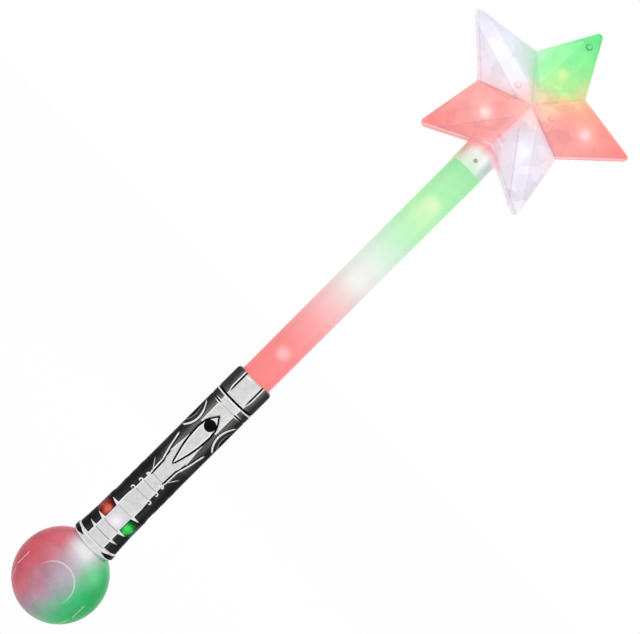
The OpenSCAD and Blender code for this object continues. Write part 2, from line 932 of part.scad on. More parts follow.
module tube_lamp_green() {
    color("#3fd06a") tube_lamp(2);
}

module tube_leads() {
    color("#b03a3a")
        for (s = [-1, 1])
            translate([s * tube_lead_x, main_back_y + lead_d / 2, tube_lead_z])
                cylinder(r = lead_r, h = plug_flange_z - fit_gap - tube_lead_z);
}

// Star head

module star_coupler() {
    color("#e8eeea")
        difference() {
            union() {
                translate([0, 0, z_neck - coupler_in_tube])
                    cylinder(r = coupler_r, h = coupler_in_tube + coupler_in_neck);
                bar_y(coupler_nub_r, neck_r - coupler_nub_r / 2, 0, 0, z_neck + coupler_nub_up, -1);
            }
            board_slot();
        }
}

// Half tip angle of the star
function tip_angle(tip_r, notch_r) =
    let (n = polar(notch_r, arm_turn / 2)) atan2(n.y, tip_r - n.x);

// Distance from the centre to a straight edge of the star
function edge_reach(tip_r, notch_r) = tip_r * sin(tip_angle(tip_r, notch_r));

// Length of arm k as a share of the longest
function arm_share(k) = k == 0 ? star_top_share : 1;

// Rounded outline of the star as rows of tip points, each row closed by the notch after it
function star_outline(tip_r, notch_r, round) =
    let (half_tip = tip_angle(tip_r, notch_r),
        round_r = tip_r - round / sin(half_tip))
    [for (k = [0 : arm_count - 1])
        let (a = first_arm + k * arm_turn)
        each concat(
            [for (j = [0 : tip_steps])
                polar(round_r * arm_share(k), a)
                    + polar(round, a + (90 - half_tip) * (2 * j / tip_steps - 1))],
            [polar(notch_r, a + arm_turn / 2)])];

// Front of the star down to the plane base_y: rim wall, a broad flat ridge along each arm and
// valleys between the arms
module star_half(tip_r, notch_r, round, rim, lower, base_y) {
    outline = star_outline(tip_r, notch_r, round);
    count = len(outline);
    row = tip_steps + 2;
    end_r = tip_r - round / sin(tip_angle(tip_r, notch_r)) - ridge_end_inset;
    // Five points a sector: ridge foot, ridge end and the valley after the arm
    ridges = [for (k = [0 : arm_count - 1])
        let (a = first_arm + k * arm_turn, u = polar(1, a), v = polar(1, a + 90),
            end_reach = end_r * arm_share(k), n = polar(valley_r, a + arm_turn / 2))
        each [
            concat(u * ridge_foot_r - v * ridge_w / 2, ridge_h - lower),
            concat(u * ridge_foot_r + v * ridge_w / 2, ridge_h - lower),
            concat(u * end_reach - v * ridge_end_w / 2, rim + ridge_end_rise),
            concat(u * end_reach + v * ridge_end_w / 2, rim + ridge_end_rise),
            concat(n, valley_h - lower)]];
    points = concat(
        [for (p = outline) [p.x * star_wide_share, -rim, p.y]],
        [for (p = outline) [p.x * star_wide_share, base_y, p.y]],
        [for (p = ridges) [p.x * star_wide_share, -p.z, p.y]],
        [[0, lower - star_crown, 0]]);
    centre = len(points) - 1;
    faces = concat(
        [[for (i = [0 : count - 1]) count + i]],
        [for (i = [0 : count - 1])
            let (j = (i + 1) % count)
            [i, j, count + j, count + i]],
        [for (k = [0 : arm_count - 1])
            let (t = k * row, notch = t + row - 1, notch_before = (t + count - 1) % count,
                r = 2 * count + k * arm_count, foot_l = r, foot_h = r + 1, end_l = r + 2, end_h = r + 3,
                valley = r + 4,
                valley_before = 2 * count + ((k + arm_count - 1) % arm_count) * arm_count + 4,
                mid = t + tip_steps / 2)
            each concat(
                [for (j = [0 : tip_steps - 1])
                    [j < tip_steps / 2 ? end_l : end_h, t + j + 1, t + j]],
                [[end_l, end_h, mid],
                    [foot_h, notch, end_h], [end_h, notch, t + tip_steps], [foot_h, valley, notch],
                    [foot_l, notch_before, valley_before], [foot_l, end_l, notch_before],
                    [notch_before, end_l, t],
                    [foot_l, foot_h, end_h, end_l],
                    [centre, foot_h, foot_l], [centre, valley, foot_h], [centre, foot_l, valley_before]])]);
    translate([0, 0, z_star])
        polyhedron(points = points, faces = faces);
}

module star_outer() {
    star_half(star_tip_r, star_notch_r, star_tip_round, star_rim, 0, overrun);
}

// Hollow of the star, its outline drawn in by the wall
module star_inner() {
    share = 1 - star_wall / edge_reach(star_tip_r, star_notch_r);
    star_half(star_tip_r * share, star_notch_r * share, star_tip_round * share, star_rim - star_wall,
        star_wall, 2 * overrun);
}

// Turned neck of radius r with a domed top, from height z up
module neck_form(r, z) {
    neck_top = z_neck + neck_l - star_rim;
    rotate_extrude()
        polygon(concat([[0, z], [r, z]],
            [for (i = [0 : dome_steps - 1]) polar(r, i * 90 / dome_steps) + [0, neck_top]],
            [[0, neck_top + r]]));
}

// Front half of the star shell with its half of the neck and its bosses
module star_shell_form() {
    half(-1)
        difference() {
            union() {
                difference() {
                    union() {
                        star_outer();
                        neck_form(neck_r, z_neck);
                    }
                    star_inner();
                    neck_form(neck_r - star_wall, z_neck + neck_l - star_rim);
                }
                intersection() {
                    star_outer();
                    for (p = star_boss_places)
                        bar_y(star_boss_r, star_crown + overrun, p.x, overrun / 2, z_star + p.y, -1);
                }
            }
            translate([0, 0, z_neck - overrun])
                cylinder(r = neck_bore_r, h = neck_l - star_rim + 2 * overrun);
        }
}

module star_front_shell() {
    color("#f0c8cc")
        difference() {
            star_shell_form();
            for (p = star_boss_places)
                bar_y(star_screw_shank_r + screw_hole_gap, star_screw_reach + fit_gap, p.x, 0,
                    z_star + p.y, -1);
            bar_y(coupler_nub_r + fit_gap, neck_r + overrun, 0, 0, z_neck + coupler_nub_up, -1);
        }
}

module star_back_shell() {
    color("#e4dcee")
        difference() {
            mirror([0, 1, 0])
                star_shell_form();
            for (p = star_boss_places) {
                bar_y(star_screw_shank_r + fit_gap, star_crown, p.x, -overrun, z_star + p.y);
                bar_y(star_screw_head_r + slide_gap, star_crown, p.x, star_screw_seat_y, z_star + p.y);
            }
        }
}

module star_board() {
    color("#eef2ec")
        difference() {
            union() {
                for (k = [0 : arm_count - 1])
                    translate([0, board_t / 2, z_star])
                        rotate([90, 0, 0])
                            rotate([0, 0, first_arm + k * arm_turn])
                                translate([0, -star_board_w / 2, 0])
                                    cube([star_lamp_reach[k] + star_board_end, star_board_w, board_t]);
                translate([-star_tail_w / 2, -board_t / 2, z_tube_board_top + fit_gap])
                    cube([star_tail_w, board_t, z_star - z_tube_board_top - fit_gap]);
            }
            for (p = star_boss_places)
                bar_y(star_boss_r + fit_gap, star_crown, p.x, -star_crown / 2, z_star + p.y);
        }
}

// Lamp of arm k, facing the front
module star_lamp(k) {
    p = polar(star_lamp_reach[k], first_arm + k * arm_turn);
    translate([p.x, -board_t / 2, z_star + p.y])
        rotate([90, 0, 0])
            lamp(lamp_r, lamp_base_h / 2);
}

module star_lamp_green() {
    color("#3fd06a") star_lamp(0);
}

module star_lamps_red() {
    color("#ff5a5a")
        for (k = [2, 4])
            star_lamp(k);
}

module star_lamps_white() {
    color("#f6f6ff")
        for (k = [1, 3])
            star_lamp(k);
}

module star_leads() {
    color("#b03a3a")
        for (s = [-1, 1])
            translate([s * star_lead_x, -board_t / 2 - lead_d / 2, z_neck + coupler_in_neck + fit_gap])
                cylinder(r = lead_r, h = star_lead_l);
}

module star_screws() {
    color("#8d9094")
        for (p = star_boss_places)
            cross_screw(star_screw_shank_r, star_screw_head_r, star_screw_head_h,
                star_screw_seat_y + star_screw_reach, p.x, star_screw_seat_y, z_star + p.y);
}

ball_front_shell();
ball_back_shell();
handle_front_shell();
handle_back_shell();
handle_screws();
window_front();
window_back();
end_board();
end_lamp_red();
end_lamp_white();
end_lamp_green();
end_leads();
main_board();
tact_switch();
switch_plunger();
push_button();
button_cell_1();
button_cell_2();
button_cell_3();
battery_spring();
battery_plate();
battery_door();
door_screw();
top_ferrule();
tube_plug();
light_tube();
tube_board();
tube_lamp_red();
tube_lamp_white();
tube_lamp_green();
tube_leads();
star_coupler();
star_front_shell();
star_back_shell();
star_board();
star_lamp_green();
star_lamps_red();
star_lamps_white();
star_leads();
star_screws();
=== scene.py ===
"""Looks of the light-up star wand: lit clear star, frosted light tube, silver and black grip, prism ball."""
import json
import math
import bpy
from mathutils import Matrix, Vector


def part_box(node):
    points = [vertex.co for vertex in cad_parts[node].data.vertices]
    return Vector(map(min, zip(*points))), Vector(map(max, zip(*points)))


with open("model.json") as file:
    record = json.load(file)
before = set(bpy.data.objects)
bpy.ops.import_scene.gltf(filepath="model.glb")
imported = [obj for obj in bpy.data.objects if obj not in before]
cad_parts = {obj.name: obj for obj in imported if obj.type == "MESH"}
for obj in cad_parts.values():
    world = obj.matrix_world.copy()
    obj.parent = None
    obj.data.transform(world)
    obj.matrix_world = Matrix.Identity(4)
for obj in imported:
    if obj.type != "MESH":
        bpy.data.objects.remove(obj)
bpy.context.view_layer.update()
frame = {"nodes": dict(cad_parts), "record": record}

from types import SimpleNamespace

import bpy
from mathutils import Matrix, Vector

MM = 0.001

# Places along the wand, in mm above the ball's lowest point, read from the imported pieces.
node_box = {name: tuple(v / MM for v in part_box(name)) for name in frame["nodes"]}
BALL_R = -node_box["ball_front_shell"][0].y
BALL_CENTRE = Vector((0, 0, BALL_R))
GRIP_LOW = node_box["handle_front_shell"][0].z
WINDOW_LOW, WINDOW_HIGH = (corner.z for corner in node_box["window_front"])
BUTTON = sum(corner.z for corner in node_box["push_button"]) / 2
FERRULE_HIGH = node_box["top_ferrule"][1].z
FERRULE_LOW = FERRULE_HIGH - 13.5
GRIP_BASE, GRIP_TOP = GRIP_LOW - 1, FERRULE_HIGH + 1
WAND_MIDDLE = 190

# Turned lines of the grip: top of the lip, ring above it, grooves between the beads, ring below the ferrule.
LIP_TOP, RING, BEADS, TOP_RING = 47.6, 52.75, (78.3, 83.4, 88.5), 133.8
LEAF_FOOT, LEAF_TIP = BUTTON - 24.1, BUTTON + 5.9
# Outlines on the grip as rows of height and half width. The band's narrow stretch lies under the leaf.
WIDEST, WINDOW_HALF = 12.0, 4.5
BAND = [(GRIP_BASE, WIDEST), (LIP_TOP - 0.05, WIDEST), (LIP_TOP + 0.15, 4.6), (57.8, WINDOW_HALF),
        (73.2, WINDOW_HALF), (BEADS[0], 3.9), (BEADS[1], 3.8), (BEADS[2] - 0.1, 3.3), (90, 3.4), (96.5, 3.6),
        (98.5, 4.4), (101, 4.6), (105, 4.4), (109, 3.95), (113.4, 3.75), (114, 1), (120.6, 1), (121.2, 4.3),
        (TOP_RING - 0.2, 4.4), (138.3, 4.6), (138.5, 4.8), (GRIP_TOP, 4.8)]
LEAF = [(GRIP_BASE, 0), (LEAF_FOOT, 0), (LEAF_FOOT + 0.4, 0.5), (LEAF_FOOT + 4, 1.5), (LEAF_FOOT + 8, 2.5),
        (LEAF_FOOT + 13, 3.4), (LEAF_FOOT + 20, 3.9), (BUTTON + 0.3, 3.3), (BUTTON + 3, 2.0), (LEAF_TIP, 0),
        (GRIP_TOP, 0)]
BRANCH = [(GRIP_BASE, 2), (95.8, 4.2), (99, 5.4), (102.6, 6.4), (109.9, 8.0), (GRIP_TOP, 11)]
BRANCH_MIDDLE, BRANCH_HALF = 103.8, 5.2
# Whiskers beside the leaf's foot: height and distance off the middle line at each end, and middle height.
WHISKER_FOOT, WHISKER_TIP, WHISKER_MIDDLE = (89.9, 4.6), (94.5, 8.0), 91.6
# Finger scallops: middle height, half height, distance off the middle line, and bow in mm for each square mm.
SCALLOP_MIDDLE, SCALLOP_HALF, SCALLOP_OFF, SCALLOP_BOW = BUTTON - 1.3, 7.2, 6.5, 0.05
# Middle heights of the black lines of painted shade inside the band's edge, radius of the painted highlight
# ring round the button, and the bore.
FOOT_SHADE_LINE, FERRULE_SHADE_LINE, BUTTON_RING, BORE_R = 94.5, 147.5, 3.15, 8.3
# Curls beside the beads: distance off the middle line, height, half width of the dot in it, and its colour.
CURLS = ((5.1, 77.3, 0.4, "#101010"), (4.8, 82.3, 0.2, "#8A8A88"), (4.2, 86.6, 0.5, "#E9E9E9"))
CURL_R = 0.88
# Painted highlights as white streaks at the rings: half their thickness at the band, and their length.
STREAK_HALF, STREAK_LONG = 0.85, 4.4
# The black sides' painted sheen of greys from their border with the band out to the outline, at the beads and
# beside the leaf.
BLACK_SIDE_OUT = 7
DARK_SIDE_SHEEN = [(0.0, "#050505"), (1.0, "#0C0C0C"), (0.08, "#070707"), (0.15, "#3C3C3C"), (0.4, "#303030"),
                (0.7, "#1C1C1C")]
SATIN_SIDE_SHEEN = [(0.0, "#050505"), (1.0, "#0A0A0A"), (0.07, "#0A0A0A"), (0.14, "#767672"), (0.3, "#61615D"),
                 (0.5, "#3E3E3C"), (0.75, "#1C1C1B")]
RED_GLOW = [(0.0, "#F07A6E"), (1.0, "#1E0907"), (0.28, "#CE5147"), (0.55, "#8A2F28"), (0.75, "#4A1814")]
GREEN_GLOW = [(0.0, "#55EA72"), (1.0, "#041A0B"), (0.32, "#2EC44E"), (0.46, "#178A35"), (0.68, "#0B4019")]

# Star as modelled: its stretch sideways, and the reach of its tips, its notches and its shorter top arm.
STAR_WIDE, STAR_TIP, STAR_NOTCH, TOP_ARM = 1.045, 52.2, 26.2, 48.0
STAR_CENTRE = Vector((0, 0, node_box["star_front_shell"][1].z - TOP_ARM))
HALF_ARM = math.radians(36)
# Half width of the flat ridge along an arm, near the middle of the star and near a tip.
RIDGE_INNER, RIDGE_OUTER = 4.0, 3.3
# Light round the star, inside and at its tips, as shares of a turn from straight down over the left.
ARM_LIGHT = [(0.0, "#FDB3B8"), (1.0, "#F7C9D8"), (0.03, "#FFA5A4"), (0.1, "#FF9C98"), (0.195, "#FF9F9A"),
             (0.205, "#F9D6DE"), (0.25, "#F3E6F0"), (0.31, "#ECEBF8"), (0.345, "#E3EDF0"), (0.375, "#CFE8DC"),
             (0.405, "#AFECBC"), (0.435, "#92F39F"), (0.5, "#86F395"), (0.55, "#A0F39A"), (0.58, "#CFE89A"),
             (0.605, "#FBC596"), (0.64, "#FFA890"), (0.7, "#FF9C97"), (0.795, "#FFA5A1"), (0.805, "#FAD9E1"),
             (0.84, "#F3E8F3"), (0.9, "#EDEAF8"), (0.96, "#EFE0EC")]
TIP_LIGHT = [(0.0, "#E9DEEA"), (1.0, "#E9DEEA"), (0.04, "#FF8A88"), (0.195, "#FF8A88"), (0.205, "#E0DDEE"),
             (0.38, "#DEDCEE"), (0.42, "#62E485"), (0.58, "#62E485"), (0.62, "#FF8683"), (0.795, "#FF8683"),
             (0.805, "#EDEBF8")]
# Each lamp in the star: its turn from the top arm in degrees, its distance from the centre, and its light.
STAR_LAMPS = ((0, 20.9, "#DDF9A8"), (-72, 30.3, "#FCFBFF"), (-144, 20.9, "#FFE9E8"), (144, 21.4, "#FDFCFF"),
              (72, 27.7, "#FFE4E0"))
# Screw bosses of the star: place, strength of their ring, and its colour.
STAR_BOSSES = (((-11.0 / STAR_WIDE, 0, 2.4), 0.5, "#DA7F86"), ((11.0 / STAR_WIDE, 0, 2.4), 0.5, "#D9747A"),
               ((0, 0, 39.5), 0.75, "#1E8A44"))
BOSS_R = 1.35
# Reach of a lamp's soft halo and of its bright core.
LAMP_HALO, LAMP_CORE = 8, 3.4
# Neck of the star: its foot, half its width, its tints from left to right, and those of the socket inside,
# whose two darker stripes are painted shade at its wall.
NECK_FOOT, NECK_HALF = -44, 8.8
DOME_TINT = [(0.0, "#F79C98"), (1.0, "#F3D6E2"), (0.45, "#F8ABAB"), (0.75, "#F4C2CF")]
SOCKET_TINT_AND_SHADE = [(0.0, "#D9B7AE"), (1.0, "#D5DCD9"), (0.1, "#CDA59B"), (0.22, "#E9DCD6"), (0.4, "#E3EAE2"),
               (0.66, "#F3F5F2"), (0.78, "#C3CECB"), (0.88, "#B9C6C2"), (0.93, "#EEF2F0")]

# Light along the tube from the grip to the star, and each lamp's height, reach of its glow, and light.
TUBE_LOW, TUBE_HIGH = 151, 291
TUBE_LIGHT = [(0.0, "#FF8585"), (1.0, "#9AE9A4"), (0.16, "#FF8C8C"), (0.27, "#FFA6A7"), (0.36, "#FCC6C9"),
              (0.43, "#F3DEDD"), (0.49, "#F0EEEA"), (0.55, "#E9F6EA"), (0.64, "#D2F6D7"), (0.73, "#B9F7BE"),
              (0.82, "#B0F7B4"), (0.92, "#ACF1B1")]
TUBE_LAMPS = ((170, 4.6, "#FFC6CA"), (218, 9, "#F6F8F4"), (266.5, 6, "#F6FBD4"), (261, 12, "#CFFBBE"))

# Light across the ball from left to right, and its brighter patches: place, reach, strength and light.
BALL_LIGHT = [(0.0, "#CE5163"), (1.0, "#2CB863"), (0.17, "#DA6673"), (0.31, "#D37D8D"), (0.43, "#C696A9"),
              (0.54, "#B3ACB6"), (0.64, "#8CC4A6"), (0.77, "#4DC981"), (0.9, "#33BC69")]
BALL_PATCHES = (((1, -17, 9), 13, 0.6, "#CFC3D2"), ((0, -11, 19.5), 13, 1.0, "#FFFCFF"),
                ((11, -14, 13.5), 9, 0.65, "#7BE29B"), ((-12, -11, 16), 8, 0.6, "#F57C84"))
BALL_SIDES, FIRST_RING, RING_STEP = 12, 10.3, 6.7


def srgb(text):
    """A colour written as #RRGGBB in sRGB, as the linear colour that a socket takes."""
    parts = [int(text[i:i + 2], 16) / 255 for i in (1, 3, 5)]
    return tuple(c / 12.92 if c <= 0.04045 else ((c + 0.055) / 1.055) ** 2.4 for c in parts) + (1.0,)


def add(tree, kind, *values, sockets=None, stops=(), points=(), **settings):
    """Adds one node and returns its outputs. values fill its inputs in order, sockets fills them by name,
    stops are a ramp's (place, #colour) and points a curve's (x, y), its two ends first, and settings are
    its properties."""
    node = tree.nodes.new("ShaderNode" + kind)
    for key, value in settings.items():
        setattr(node, key, value)
    for key, value in [*enumerate(values), *(sockets or {}).items()]:
        if isinstance(value, bpy.types.NodeSocket):
            tree.links.new(value, node.inputs[key])
        elif value is not None:
            node.inputs[key].default_value = value
    for i, (place, colour) in enumerate(stops):
        steps = node.color_ramp.elements
        step = steps[i] if i < 2 else steps.new(place)
        step.position, step.color = place, srgb(colour)
    for i, (x, y) in enumerate(points):
        knots = node.mapping.curves[0].points
        knot = knots[i] if i < 2 else knots.new(x, y)
        knot.location = (x, y)
    return node.outputs


def finish_named(name, slots):
    """A new material, put on every CAD piece whose packed material is one of these slots. Returns its node
    tree, its shader's node, and the place on the piece in mm as a vector socket."""
    material = bpy.data.materials.new(name)
    material.use_nodes = True
    tree = material.node_tree
    shader = tree.nodes["Principled BSDF"]
    row_slots = {row["node"]: row["material_slot"] for row in frame["record"]["subparts"]}
    for node, obj in frame["nodes"].items():
        if row_slots[node] in slots:
            obj.material_slots[0].material = material
    spot = add(tree, "TexCoord")["Object"]
    return tree, shader, add(tree, "VectorMath", spot, sockets={"Scale": 1 / MM}, operation="SCALE")[0]


def stripe(tree, value, middle, half, soft):
    """1 where value is within half of middle, falling smoothly to 0 over the next soft."""
    off = add(tree, "Math", value, middle, operation="SUBTRACT")[0]
    size = add(tree, "Math", off, operation="ABSOLUTE")[0]
    return add(tree, "MapRange", size, half, half + soft, 1, 0, interpolation_type="SMOOTHSTEP")[0]


def spot_near(tree, place, centre, half, soft):
    """1 within half of a centre and 0 beyond half plus soft, smooth between."""
    reach = add(tree, "VectorMath", place, tuple(centre), operation="DISTANCE")["Value"]
    return add(tree, "MapRange", reach, half, half + soft, 1, 0, interpolation_type="SMOOTHSTEP")[0]


def coat(tree, under, colour, amount, *more):
    """A coat of colour over another, as thick as the product of its amounts, each 0 to 1. A colour is a
    socket or written as #RRGGBB."""
    for factor in more:
        amount = add(tree, "Math", amount, factor, operation="MULTIPLY")[0]
    under, colour = (srgb(tint) if isinstance(tint, str) else tint for tint in (under, colour))
    return add(tree, "Mix", amount, sockets={6: under, 7: colour}, data_type="RGBA")[2]


def shaded(tree, under, tone):
    """A colour times a tone of about 1."""
    grey = add(tree, "CombineColor", tone, tone, tone)[0]
    return add(tree, "Mix", 1.0, sockets={6: under, 7: grey}, data_type="RGBA", blend_type="MULTIPLY")[2]


def lit_plastic(tree, shader, colour, share, glow, roughness, gloss):
    """Clear or milky plastic lit from inside: a share of its colour reflects, it glows a little, and a
    clear coat can give it gloss."""
    tree.links.new(shaded(tree, colour, share), shader.inputs["Base Color"])
    tree.links.new(colour, shader.inputs["Emission Color"])
    shader.inputs["Emission Strength"].default_value = glow
    shader.inputs["Roughness"].default_value = roughness
    shader.inputs["Coat Weight"].default_value = gloss
    shader.inputs["Coat Roughness"].default_value = 0.06


def star_light(tree, z, flat, reach, angle):
    """Light of the lamps in the star: a colour for each arm that sways into the next, another at the tips,
    rosy at the heart, and yellow where the green arm meets the red one. The sway has waves of 10 mm."""
    ripple = add(tree, "TexNoise", flat, sockets={"Scale": 1 / 10, "Detail": 2.0})[0]
    sway = add(tree, "MapRange", ripple, 0, 1, -0.2, 0.2)[0]
    upper = add(tree, "MapRange", z, -6, 10, 0, 1, interpolation_type="SMOOTHSTEP")[0]
    swayed = add(tree, "Math", sway, upper, angle, operation="MULTIPLY_ADD")[0]
    turn = add(tree, "MapRange", swayed, -math.pi, math.pi, 0, 1)[0]
    arms = add(tree, "ValToRGB", turn, stops=ARM_LIGHT)[0]
    tips = add(tree, "ValToRGB", turn, stops=TIP_LIGHT)[0]
    to_tip = add(tree, "MapRange", reach, 26, 49, 0, 1, interpolation_type="SMOOTHSTEP")[0]
    colour = coat(tree, arms, tips, to_tip)
    heart = add(tree, "MapRange", reach, 3, 17, 0.7, 0, interpolation_type="SMOOTHSTEP")[0]
    colour = coat(tree, colour, "#FFC6BE", heart)
    for centre, strength, tint in (((1.5, 0, 15), 0.5, "#D0F29C"), ((5.5, 0, 6), 0.55, "#F9D9A8")):
        colour = coat(tree, colour, tint, spot_near(tree, flat, centre, 1, 9), strength)
    return colour


def star_lamps(tree, colour, flat):
    """A soft halo and a bright core at each lamp."""
    for degrees, out, tint in STAR_LAMPS:
        lamp = (out * math.sin(math.radians(degrees)), 0, out * math.cos(math.radians(degrees)))
        colour = coat(tree, colour, tint, spot_near(tree, flat, lamp, 0.3, LAMP_HALO), 0.28)
        colour = coat(tree, colour, tint, spot_near(tree, flat, lamp, 0.4, LAMP_CORE), 0.65)
    return colour


def star_edges(tree, colour, x, z, reach, angle):
    """Painted highlights on the bright ridges along the arms, painted shade on the facets beside them and in
    fine darker creases and valleys, and a painted highlight along a pale rim with a line of painted shade
    inside it.
    Folding the turn at every half arm gives the steps along and across the nearest arm, and the distance from
    its valley."""
    fold = add(tree, "Math", angle, HALF_ARM, operation="PINGPONG")[0]
    along = add(tree, "Math", reach, add(tree, "Math", fold, operation="COSINE")[0], operation="MULTIPLY")[0]
    across = add(tree, "Math", reach, add(tree, "Math", fold, operation="SINE")[0], operation="MULTIPLY")[0]
    to_valley = add(tree, "Math", HALF_ARM, fold, operation="SUBTRACT")[0]
    valley = add(tree, "Math", reach, add(tree, "Math", to_valley, operation="SINE")[0],
                 operation="MULTIPLY")[0]
    side = add(tree, "Math", x, operation="ABSOLUTE")[0]
    low = add(tree, "Math", add(tree, "MapRange", z, 14, -6, 0.1, 1)[0],
              add(tree, "MapRange", side, 1.5, 6, 0.12, 1)[0], operation="MULTIPLY")[0]
    # Painted light and shade of the facets: the flat ridge along each arm lighter, the facets beside it
    # darker.
    ridge = add(tree, "MapRange", along, 10, STAR_TIP - 10, RIDGE_INNER, RIDGE_OUTER)[0]
    on_ridge = add(tree, "Math", ridge, across, operation="SUBTRACT")[0]
    facet = add(tree, "MapRange", on_ridge, -0.5, 0.4, 0.95, 1.03, interpolation_type="SMOOTHSTEP")[0]
    colour = shaded(tree, colour, add(tree, "Mix", low, sockets={2: 1.0, 3: facet})[0])

    # The halves of the arms that face the grip show their edges more.
    turned = add(tree, "Math", angle, operation="ABSOLUTE")[0]
    half, soft = math.radians(17), math.radians(2)
    facing = add(tree, "Math", stripe(tree, turned, math.radians(90), half, soft),
                 stripe(tree, turned, math.radians(162), half, soft), operation="MAXIMUM")[0]
    # Painted shade: darker lines in the valleys between the arms and in the creases at the ridge's edges.
    colour = coat(tree, colour, "#C48794", stripe(tree, valley, 0, 0.15, 0.7), low, 0.5)
    colour = coat(tree, colour, "#B996A8", stripe(tree, across, ridge, 0.05, 0.5),
                  add(tree, "MapRange", facing, 0, 1, 0.35, 1)[0], low, 0.34)

    # Straight edge from a notch to a tip: its distance is a sum of the steps along and across the arm.
    edge_turn = math.atan2(STAR_NOTCH * math.sin(HALF_ARM), STAR_TIP - STAR_NOTCH * math.cos(HALF_ARM))
    lean = add(tree, "Math", along, math.sin(edge_turn), -STAR_TIP * math.sin(edge_turn),
               operation="MULTIPLY_ADD")[0]
    inset = add(tree, "Math", across, math.cos(edge_turn), lean, operation="MULTIPLY_ADD")[0]
    edged = add(tree, "MapRange", facing, 0, 1, 0.15, 1)[0]
    # A line of painted shade and, nearer the edge, a painted highlight along the rim.
    for middle, half, strength, ink in ((-1.5, 0.12, 0.2, "#C08A98"), (-0.7, 0.15, 0.4, "#FFF4F6")):
        colour = coat(tree, colour, ink, stripe(tree, inset, middle, half, 0.6), edged, strength)
    return colour


def star_bosses(tree, colour, z, flat):
    """A small ring where each screw boss shows through, with painted shade that makes it darker at its lower
    side.
    """
    for centre, strength, ink in STAR_BOSSES:
        reach = add(tree, "VectorMath", flat, centre, operation="DISTANCE")["Value"]
        under = add(tree, "MapRange", z, centre[2] + 1.2, centre[2] - 0.8, 0.35, 1)[0]
        colour = coat(tree, colour, ink, stripe(tree, reach, BOSS_R, 0.16, 0.5), strength, under)
    return colour


def star_neck(tree, colour, x, z, flat):
    """Neck: pink at its dome and clear below, so the white socket inside shows up to a rosy arc, with painted
    shade at its wall as two soft darker stripes and the tube's green at its foot."""
    side = add(tree, "Math", x, operation="ABSOLUTE")[0]
    below = add(tree, "MapRange", z, -24.5, -28, 0, 0.85, interpolation_type="SMOOTHSTEP")[0]
    dome = add(tree, "ValToRGB", add(tree, "MapRange", x, -9, 9, 0, 1)[0], stops=DOME_TINT)[0]
    colour = coat(tree, colour, dome, stripe(tree, side, 0, NECK_HALF, 0.6), below)
    foot = add(tree, "VectorMath", flat, (0, 0, NECK_FOOT), operation="DISTANCE")["Value"]
    colour = coat(tree, colour, "#E68A8E", stripe(tree, foot, 16.4, 0.5, 0.9),
                  add(tree, "MapRange", z, -35, -29, 0, 1)[0], 0.4)
    socket = add(tree, "ValToRGB", add(tree, "MapRange", x, -9.5, 9.5, 0, 1)[0], stops=SOCKET_TINT_AND_SHADE)[0]
    socket = coat(tree, socket, "#BFE9C4",
                  add(tree, "MapRange", z, -33, -41, 0, 0.55, interpolation_type="SMOOTHSTEP")[0])
    return coat(tree, colour, socket, stripe(tree, side, 0, NECK_HALF - 0.1, 0.9),
                add(tree, "MapRange", foot, 15.6, 11, 0, 1, interpolation_type="SMOOTHSTEP")[0])


def star_finish():
    """Clear moulded polystyrene star, lit by a lamp in each arm: arms of green, salmon and lavender white
    that blend, with prism cells of about 5 mm, painted shade in fine darker creases and a painted highlight
    along a pale rim."""
    tree, shader, place = finish_named("moulded_clear_polystyrene_star", ["prism_star"])
    local = add(tree, "VectorMath", place, tuple(-STAR_CENTRE), operation="ADD")[0]
    local = add(tree, "VectorMath", local, (1 / STAR_WIDE, 1, 1), operation="MULTIPLY")[0]
    x, _, z = add(tree, "SeparateXYZ", local)
    flat = add(tree, "CombineXYZ", x, None, z)[0]
    reach = add(tree, "VectorMath", flat, operation="LENGTH")["Value"]
    angle = add(tree, "Math", x, z, operation="ARCTAN2")[0]
    colour = star_light(tree, z, flat, reach, angle)
    # The cells are bent by up to 3 mm, in waves of 7 mm, and show more in the lower arms.
    bent = add(tree, "TexNoise", local, sockets={"Scale": 1 / 6.6667, "Detail": 1.0})["Color"]
    cell_place = add(tree, "VectorMath", bent, (3, 3, 3), local, operation="MULTIPLY_ADD")[0]
    cells = add(tree, "TexVoronoi", cell_place, sockets={"Scale": 1 / 5.2632, "Smoothness": 0.2},
                feature="SMOOTH_F1")
    cell = add(tree, "SeparateColor", cells["Color"])[0]
    darkest = add(tree, "MapRange", z, 10, -8, 0.94, 0.88)[0]
    colour = shaded(tree, colour, add(tree, "MapRange", cell, 0, 1, darkest, 1.06)[0])
    colour = star_lamps(tree, colour, flat)
    colour = star_edges(tree, colour, x, z, reach, angle)
    colour = star_bosses(tree, colour, z, flat)
    colour = star_neck(tree, colour, x, z, flat)
    lit_plastic(tree, shader, colour, share=0.42, glow=0.63, roughness=0.32, gloss=0.1)
    bump = add(tree, "Bump", 0.3, sockets={"Height": cells["Distance"], "Distance": 0.8 * MM})[0]
    tree.links.new(bump, shader.inputs["Normal"])


